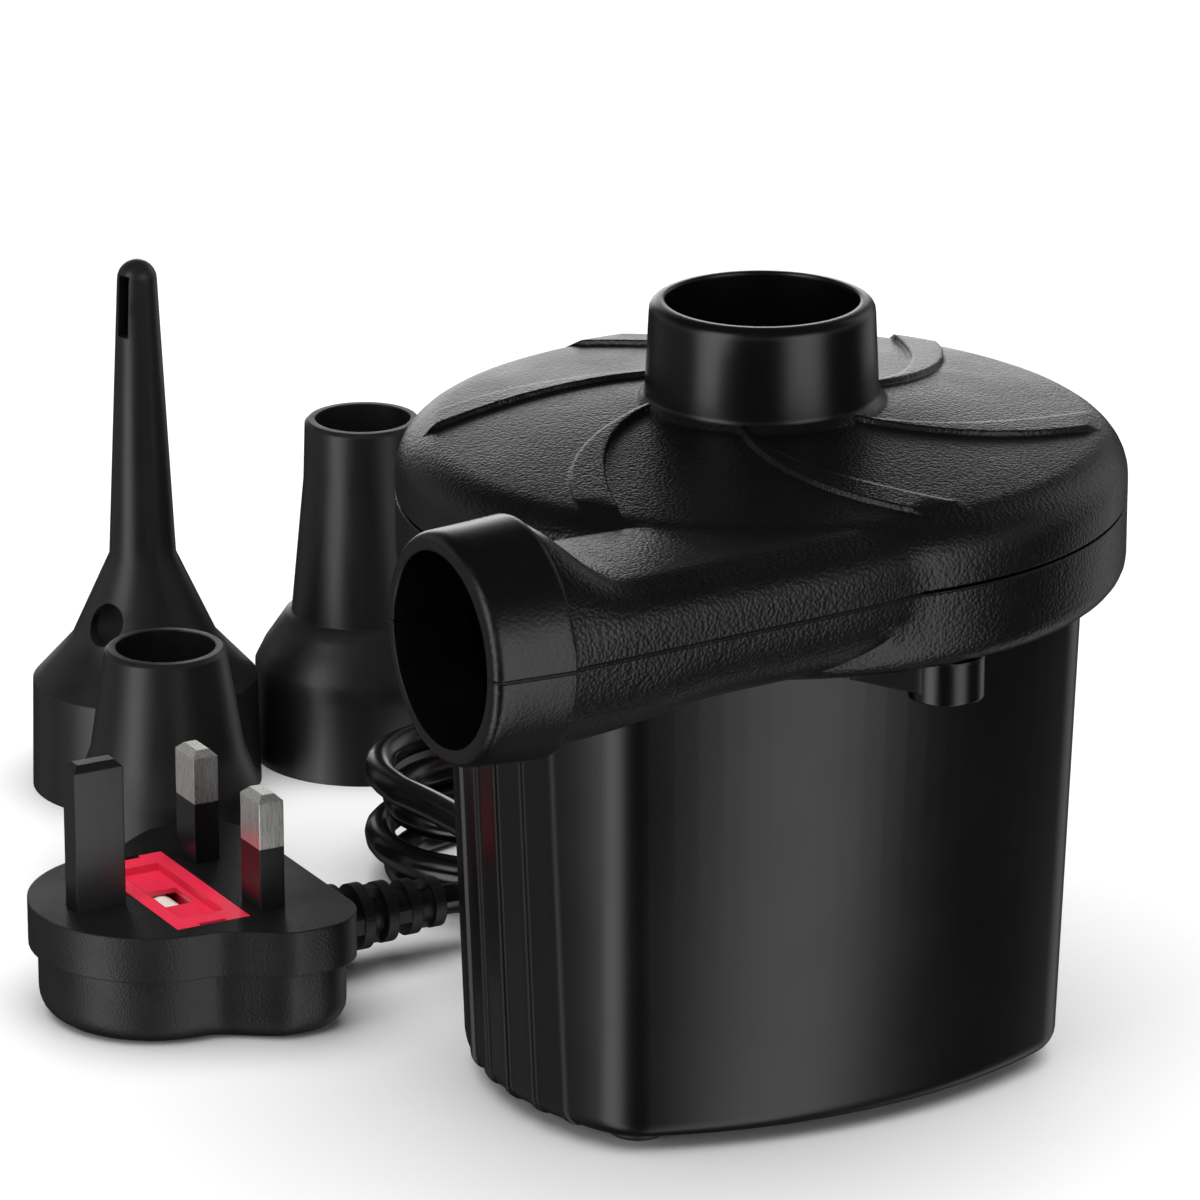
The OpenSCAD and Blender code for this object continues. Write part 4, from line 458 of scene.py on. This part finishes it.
spline = curve.splines.new("BEZIER")
spline.bezier_points.add(len(route) - 1)
for point, at in zip(spline.bezier_points, route):
    point.co = at
    point.handle_left_type = point.handle_right_type = "AUTO"
mains_lead = bpy.data.objects.new("mains_lead", curve)
bpy.context.scene.collection.objects.link(mains_lead)
# Extruded PVC sheath: glossy black with a slight ripple from the die
pvc_sheath, tree, place = new_material("pvc_extruded_sheath")
ripple = add(tree, "ShaderNodeTexNoise", {"Vector": place, "Scale": 1 / (3 * mm), "Detail": 3.0})
bump = add(tree, "ShaderNodeBump", {"Height": ripple.outputs["Fac"], "Distance": 0.05 * mm, "Strength": 0.3})
rough = add(tree, "ShaderNodeMapRange", {"Value": ripple.outputs["Fac"], "To Min": 0.16, "To Max": 0.28})
tone = add(tree, "ShaderNodeMix", {0: ripple.outputs["Fac"], 6: linear("#0a0a0b"), 7: linear("#101011")},
    data_type="RGBA")
finish_with(pvc_sheath, {"Base Color": tone.outputs[2], "Roughness": rough.outputs[0], "IOR": 1.53,
    "Normal": bump.outputs[0]}, "cord_lead", "cord_hank", "cord_tail")
curve.materials.append(pvc_sheath)
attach(mains_lead, "pump")
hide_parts("cord_lead", "cord_hank", "cord_tail")

# Strain relief of the plug: moulded with the plug in soft black PVC. Rings on a thin core are joined by
# bars that lie across and upright by turns, so that it bends every way.
ladder = bpy.data.node_groups.new("ladder_of_rings", "GeometryNodeTree")
for label, kind in [("Geometry", "Geometry"), ("Rings", "Int"), ("Pitch", "Float"), ("Ring width", "Float"),
        ("Root radius", "Float"), ("Tip share", "Float"), ("Place", "Vector")]:
    ladder.interface.new_socket(label, in_out="INPUT", socket_type="NodeSocket" + kind)
ladder.interface.new_socket("Geometry", in_out="OUTPUT", socket_type="NodeSocketGeometry")
given = add(ladder, "NodeGroupInput").outputs
step = add(ladder, "ShaderNodeCombineXYZ", {"X": given["Pitch"]})
seats = add(ladder, "GeometryNodeMeshLine", {"Count": given["Rings"], "Offset": step.outputs[0]})
number = add(ladder, "GeometryNodeInputIndex")
along = add(ladder, "ShaderNodeMath", {0: number.outputs[0], 1: given["Rings"]}, operation="DIVIDE")
taper = add(ladder, "ShaderNodeMapRange", {"Value": along.outputs[0], "To Min": 1.0, "To Max": given["Tip share"]})
across = add(ladder, "ShaderNodeCombineXYZ", {"X": 1.0, "Y": taper.outputs[0], "Z": taper.outputs[0]})
disc = add(ladder, "GeometryNodeMeshCylinder", {"Vertices": 40, "Radius": given["Root radius"],
    "Depth": given["Ring width"]})
lying = add(ladder, "GeometryNodeTransform", {"Geometry": disc.outputs[0], "Rotation": (0, math.pi / 2, 0)})
rings = add(ladder, "GeometryNodeInstanceOnPoints", {"Points": seats.outputs[0], "Instance": lying.outputs[0],
    "Scale": across.outputs[0]})
double = add(ladder, "ShaderNodeMath", {0: given["Root radius"], 1: 1.86}, operation="MULTIPLY")
depth = add(ladder, "ShaderNodeMath", {0: given["Root radius"], 1: 0.5}, operation="MULTIPLY")
bar_size = add(ladder, "ShaderNodeCombineXYZ", {"X": given["Pitch"], "Y": double.outputs[0], "Z": depth.outputs[0]})
bar = add(ladder, "GeometryNodeMeshCube", {"Size": bar_size.outputs[0]})
half = add(ladder, "ShaderNodeMath", {0: given["Pitch"], 1: -0.5}, operation="MULTIPLY")
back = add(ladder, "ShaderNodeCombineXYZ", {"X": half.outputs[0]})
between = add(ladder, "GeometryNodeTransform", {"Geometry": bar.outputs[0], "Translation": back.outputs[0]})
odd = add(ladder, "ShaderNodeMath", {0: number.outputs[0], 1: 2.0}, operation="MODULO")
quarter = add(ladder, "ShaderNodeMath", {0: odd.outputs[0], 1: math.pi / 2}, operation="MULTIPLY")
spin = add(ladder, "ShaderNodeCombineXYZ", {"X": quarter.outputs[0]})
bars = add(ladder, "GeometryNodeInstanceOnPoints", {"Points": seats.outputs[0], "Instance": between.outputs[0],
    "Scale": across.outputs[0], "Rotation": spin.outputs[0]})
length = add(ladder, "ShaderNodeMath", {0: given["Pitch"], 1: given["Rings"]}, operation="MULTIPLY")
core = add(ladder, "GeometryNodeMeshCone", {"Vertices": 32, "Radius Top": 2.75 * mm, "Radius Bottom": 3.3 * mm,
    "Depth": length.outputs[0]})
half_ring = add(ladder, "ShaderNodeMath", {0: given["Ring width"], 1: 0.5}, operation="MULTIPLY")
behind = add(ladder, "ShaderNodeMath", {0: half_ring.outputs[0], 1: given["Pitch"]}, operation="SUBTRACT")
core_start = add(ladder, "ShaderNodeCombineXYZ", {"X": behind.outputs[0]})
core_at = add(ladder, "GeometryNodeTransform", {"Geometry": core.outputs[0], "Translation": core_start.outputs[0],
    "Rotation": (0, math.pi / 2, 0)})
joined = add(ladder, "GeometryNodeJoinGeometry")
for part in (core_at, bars, rings):
    ladder.links.new(part.outputs[0], joined.inputs[0])
real = add(ladder, "GeometryNodeRealizeInstances", {"Geometry": joined.outputs[0]})
put = add(ladder, "GeometryNodeTransform", {"Geometry": real.outputs[0], "Translation": given["Place"]})
coated = add(ladder, "GeometryNodeSetMaterial", {"Geometry": put.outputs[0], "Material": rubber})
add(ladder, "NodeGroupOutput", {0: coated.outputs[0]})
plug_relief = bake_tree("plug_relief", bpy.data.meshes.new("plug_relief"), ladder, {"Rings": 6, "Pitch": 4.24 * mm,
    "Ring width": 1.8 * mm, "Root radius": 6 * mm, "Tip share": 0.58, "Place": Vector((-44.1, 60, 8)) * mm})
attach(plug_relief, "pump")
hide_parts("plug_strain_relief")

# Plug: a fused three-pin plug moulded on the lead in black PVC, with two solid brass pins, their nylon
# sleeves, a nylon earth pin, and a red carrier that holds a ceramic fuse and slides out of its face.
# Moulded PVC: matt black off a fine-spark tool, in grains about 0.3 mm across
pvc_matt, tree, place = new_material("pvc_moulded_spark_finish")
spark = add(tree, "ShaderNodeTexVoronoi", {"Vector": place, "Scale": 1 / (0.35 * mm)})
round_edge = add(tree, "ShaderNodeBevel", {"Radius": 0.5 * mm}, samples=4)
bump = add(tree, "ShaderNodeBump", {"Height": spark.outputs["Distance"], "Distance": 0.06 * mm, "Strength": 0.6,
    "Normal": round_edge.outputs[0]})
blotch = add(tree, "ShaderNodeTexNoise", {"Vector": place, "Scale": 1 / (9 * mm), "Detail": 4.0})
rough = add(tree, "ShaderNodeMapRange", {"Value": blotch.outputs["Fac"], "From Min": 0.3, "From Max": 0.7,
    "To Min": 0.42, "To Max": 0.52})
tone = add(tree, "ShaderNodeMix", {0: blotch.outputs["Fac"], 6: linear("#0a0a0b"), 7: linear("#0f0f10")},
    data_type="RGBA")
finish_with(pvc_matt, {"Base Color": tone.outputs[2], "Roughness": rough.outputs[0], "IOR": 1.5,
    "Normal": bump.outputs[0]}, "plug_body")

# Moulded nylon: smooth semi-gloss black, with faint rub lines along the pins
nylon, tree, place = new_material("nylon_moulded")
rub = add(tree, "ShaderNodeMapping", {"Vector": place, "Scale": (1, 1, 0.1)})
marks = add(tree, "ShaderNodeTexNoise", {"Vector": rub.outputs[0], "Scale": 1 / (0.4 * mm), "Detail": 3.0})
tone = add(tree, "ShaderNodeMix", {0: marks.outputs["Fac"], 6: linear("#0b0b0c"), 7: linear("#141415")},
    data_type="RGBA")
rough = add(tree, "ShaderNodeMapRange", {"Value": marks.outputs["Fac"], "To Min": 0.26, "To Max": 0.42})
round_edge = add(tree, "ShaderNodeBevel", {"Radius": 0.3 * mm}, samples=4)
finish_with(nylon, {"Base Color": tone.outputs[2], "Roughness": rough.outputs[0], "IOR": 1.53,
    "Normal": round_edge.outputs[0]}, "pin_sleeves", "earth_pin")

# Nickel-plated brass: pale silver, brightest on the edges, with fine lines from being pushed in and out
nickel, tree, place = new_material("brass_nickel_plated")
rub = add(tree, "ShaderNodeMapping", {"Vector": place, "Scale": (1, 1, 0.06)})
marks = add(tree, "ShaderNodeTexNoise", {"Vector": rub.outputs[0], "Scale": 1 / (0.25 * mm), "Detail": 3.0})
tone = add(tree, "ShaderNodeMix", {0: marks.outputs["Fac"], 6: linear("#b4b3ae"), 7: linear("#f0efeb")},
    data_type="RGBA")
rough = add(tree, "ShaderNodeMapRange", {"Value": marks.outputs["Fac"], "To Min": 0.2, "To Max": 0.36})
round_edge = add(tree, "ShaderNodeBevel", {"Radius": 0.25 * mm}, samples=4)
bump = add(tree, "ShaderNodeBump", {"Height": marks.outputs["Fac"], "Distance": 0.01 * mm, "Strength": 0.4,
    "Normal": round_edge.outputs[0]})
finish_with(nickel, {"Base Color": tone.outputs[2], "Metallic": 0.85, "Roughness": rough.outputs[0],
    "Normal": bump.outputs[0]}, "plug_pins")

# Moulded urea: opaque pinkish red, smooth, a little paler where the flow met
urea_red, tree, place = new_material("urea_moulded_red")
flow = add(tree, "ShaderNodeTexNoise", {"Vector": place, "Scale": 1 / (4 * mm), "Detail": 4.0, "Distortion": 0.6})
tone = add(tree, "ShaderNodeMix", {0: flow.outputs["Fac"], 6: linear("#d31f3c"), 7: linear("#e63450")},
    data_type="RGBA")
rough = add(tree, "ShaderNodeMapRange", {"Value": flow.outputs["Fac"], "To Min": 0.3, "To Max": 0.44})
round_edge = add(tree, "ShaderNodeBevel", {"Radius": 0.3 * mm}, samples=4)
finish_with(urea_red, {"Base Color": tone.outputs[2], "Roughness": rough.outputs[0], "IOR": 1.54,
    "Normal": round_edge.outputs[0]}, "fuse_carrier")

# Glazed ceramic tube with nickel-plated caps at both ends: cream between 7.7 mm either side, silver beyond
ceramic, tree, place = new_material("ceramic_glazed_capped")
axes = add(tree, "ShaderNodeSeparateXYZ", {0: place})
off_middle = add(tree, "ShaderNodeMath", {0: axes.outputs["Y"], 1: 60 * mm}, operation="SUBTRACT")
reach = add(tree, "ShaderNodeMath", {0: off_middle.outputs[0]}, operation="ABSOLUTE")
cap = add(tree, "ShaderNodeMapRange", {"Value": reach.outputs[0], "From Min": 7.65 * mm, "From Max": 7.75 * mm})
speck = add(tree, "ShaderNodeTexNoise", {"Vector": place, "Scale": 1 / (1 * mm), "Detail": 3.0})
glaze = add(tree, "ShaderNodeMix", {0: speck.outputs["Fac"], 6: linear("#d9d5c8"), 7: linear("#ece9df")},
    data_type="RGBA")
tone = add(tree, "ShaderNodeMix", {0: cap.outputs[0], 6: glaze.outputs[2], 7: linear("#c9c9c6")}, data_type="RGBA")
rough = add(tree, "ShaderNodeMapRange", {"Value": speck.outputs["Fac"], "To Min": 0.14, "To Max": 0.28})
finish_with(ceramic, {"Base Color": tone.outputs[2], "Metallic": cap.outputs[0], "Roughness": rough.outputs[0]},
    "fuse")

# Nozzles: three loose push-on nozzles for different valves, moulded in black polypropylene. Each has the
# same socket, which slips over the intake or the outlet.
# Moulded polypropylene: satin black with a waxy sheen and soft flow lines up its length
polypropylene, tree, place = new_material("polypropylene_moulded_satin")
drawn = add(tree, "ShaderNodeMapping", {"Vector": place, "Scale": (1, 1, 0.12)})
flow = add(tree, "ShaderNodeTexNoise", {"Vector": drawn.outputs[0], "Scale": 1 / (2.5 * mm), "Detail": 4.0})
round_edge = add(tree, "ShaderNodeBevel", {"Radius": 0.4 * mm}, samples=4)
bump = add(tree, "ShaderNodeBump", {"Height": flow.outputs["Fac"], "Distance": 0.04 * mm, "Strength": 0.25,
    "Normal": round_edge.outputs[0]})
rough = add(tree, "ShaderNodeMapRange", {"Value": flow.outputs["Fac"], "From Min": 0.3, "From Max": 0.7,
    "To Min": 0.34, "To Max": 0.43})
tone = add(tree, "ShaderNodeMix", {0: flow.outputs["Fac"], 6: linear("#121213"), 7: linear("#19191a")},
    data_type="RGBA")
finish_with(polypropylene, {"Base Color": tone.outputs[2], "Roughness": rough.outputs[0], "IOR": 1.49,
    "Normal": bump.outputs[0]}, "pin_nozzle", "long_nozzle", "short_nozzle")

# Floor, lights and camera: a pale sweep under one broad soft light from above, tall soft boxes all round
# that only gloss shows, and the long lens and height that the object is seen from.
floor_mesh = bpy.data.meshes.new("floor")
floor_mesh.from_pydata([(-3, -3, 0), (3, -3, 0), (3, 3, 0), (-3, 3, 0)], [], [(0, 1, 2, 3)])
floor = bpy.data.objects.new("floor", floor_mesh)
floor.visible_glossy = False
bpy.context.scene.collection.objects.link(floor)
pale_floor, tree, place = new_material("floor_matt_pale")
finish_with(pale_floor, {"Base Color": linear("#efefef"), "Roughness": 0.6})
floor_mesh.materials.append(pale_floor)

aim = Vector((-20.25, 11.14, 70.57)) * mm
light = bpy.data.lights.new("broad_light_above", "SUN")
light.energy, light.angle = 3.9, math.radians(84)
lamp = bpy.data.objects.new("broad_light_above", light)
lamp.location = aim + Vector((0, 0, 1))
lamp.rotation_euler = (math.radians(8), 0, 0)
lamp.visible_glossy = False
bpy.context.scene.collection.objects.link(lamp)
world = bpy.data.worlds.new("studio")
world.use_nodes = True
tree = world.node_tree
tree.nodes.clear()
way = add(tree, "ShaderNodeTexCoord").outputs["Generated"]
flat = add(tree, "ShaderNodeVectorMath", {0: way, 1: (1, 1, 0)}, operation="MULTIPLY")
level = add(tree, "ShaderNodeVectorMath", {0: flat.outputs[0]}, operation="NORMALIZE")
height = add(tree, "ShaderNodeSeparateXYZ", {0: way}).outputs["Z"]
glow = 0.035
# Each box: its azimuth, the half angles where it is full and where it ends, the lowest and highest sine of
# elevation, the fade above and below, and its strength
for label, azimuth, inner, outer, low, high, fade, strength in [
        ("front_box", 13, 3, 25, -0.85, 0.3, 0.3, 2.0),
        ("left_box", -79, 4, 23, -0.7, 0.5, 0.3, 2.7),
        ("right_box", 104, 5, 21, -0.7, 0.5, 0.3, 0.5),
        ("rear_left_fill", 225, 12, 42, -0.7, 0.1, 0.2, 0.16),
        ("ring_all_round", 0, 175, 180, 0.12, 0.42, 0.12, 0.2),
        ("back_glow", 156, 8, 21, -0.05, 0.22, 0.13, 2.0)]:
    a = math.radians(azimuth)
    facing = add(tree, "ShaderNodeVectorMath", {0: level.outputs[0], 1: (math.sin(a), -math.cos(a), 0)},
        operation="DOT_PRODUCT", label=label)
    wide = add(tree, "ShaderNodeMapRange",
        {"Value": facing.outputs["Value"], "From Min": math.cos(math.radians(outer)),
        "From Max": math.cos(math.radians(inner)), "To Max": strength}, interpolation_type="SMOOTHSTEP")
    above = add(tree, "ShaderNodeMapRange", {"Value": height, "From Min": low - fade, "From Max": low},
        interpolation_type="SMOOTHSTEP")
    below = add(tree, "ShaderNodeMapRange", {"Value": height, "From Min": high + fade, "From Max": high},
        interpolation_type="SMOOTHSTEP")
    tall = add(tree, "ShaderNodeMath", {0: above.outputs[0], 1: below.outputs[0]}, operation="MULTIPLY")
    glow = add(tree, "ShaderNodeMath", {0: wide.outputs[0], 1: tall.outputs[0], 2: glow},
        operation="MULTIPLY_ADD").outputs[0]
sky = add(tree, "ShaderNodeBackground", {"Color": linear("#ffffff"), "Strength": glow})
add(tree, "ShaderNodeOutputWorld", {"Surface": sky.outputs[0]})
bpy.context.scene.world = world
bpy.context.scene.view_settings.view_transform = "Standard"

camera_azimuth, camera_elevation, camera_reach = -28.83, 18.65, 1.032
a, e = math.radians(camera_azimuth), math.radians(camera_elevation)
away = Vector((math.sin(a) * math.cos(e), -math.cos(a) * math.cos(e), math.sin(e)))
lens = bpy.data.cameras.new("camera")
lens.sensor_width, lens.lens = 36, 214.6
lens.clip_start, lens.clip_end = 0.05, 20
camera = bpy.data.objects.new("camera", lens)
camera.location = aim + away * camera_reach
camera.rotation_euler = (-away).to_track_quat("-Z", "Y").to_euler()
bpy.context.scene.collection.objects.link(camera)
bpy.context.scene.camera = camera
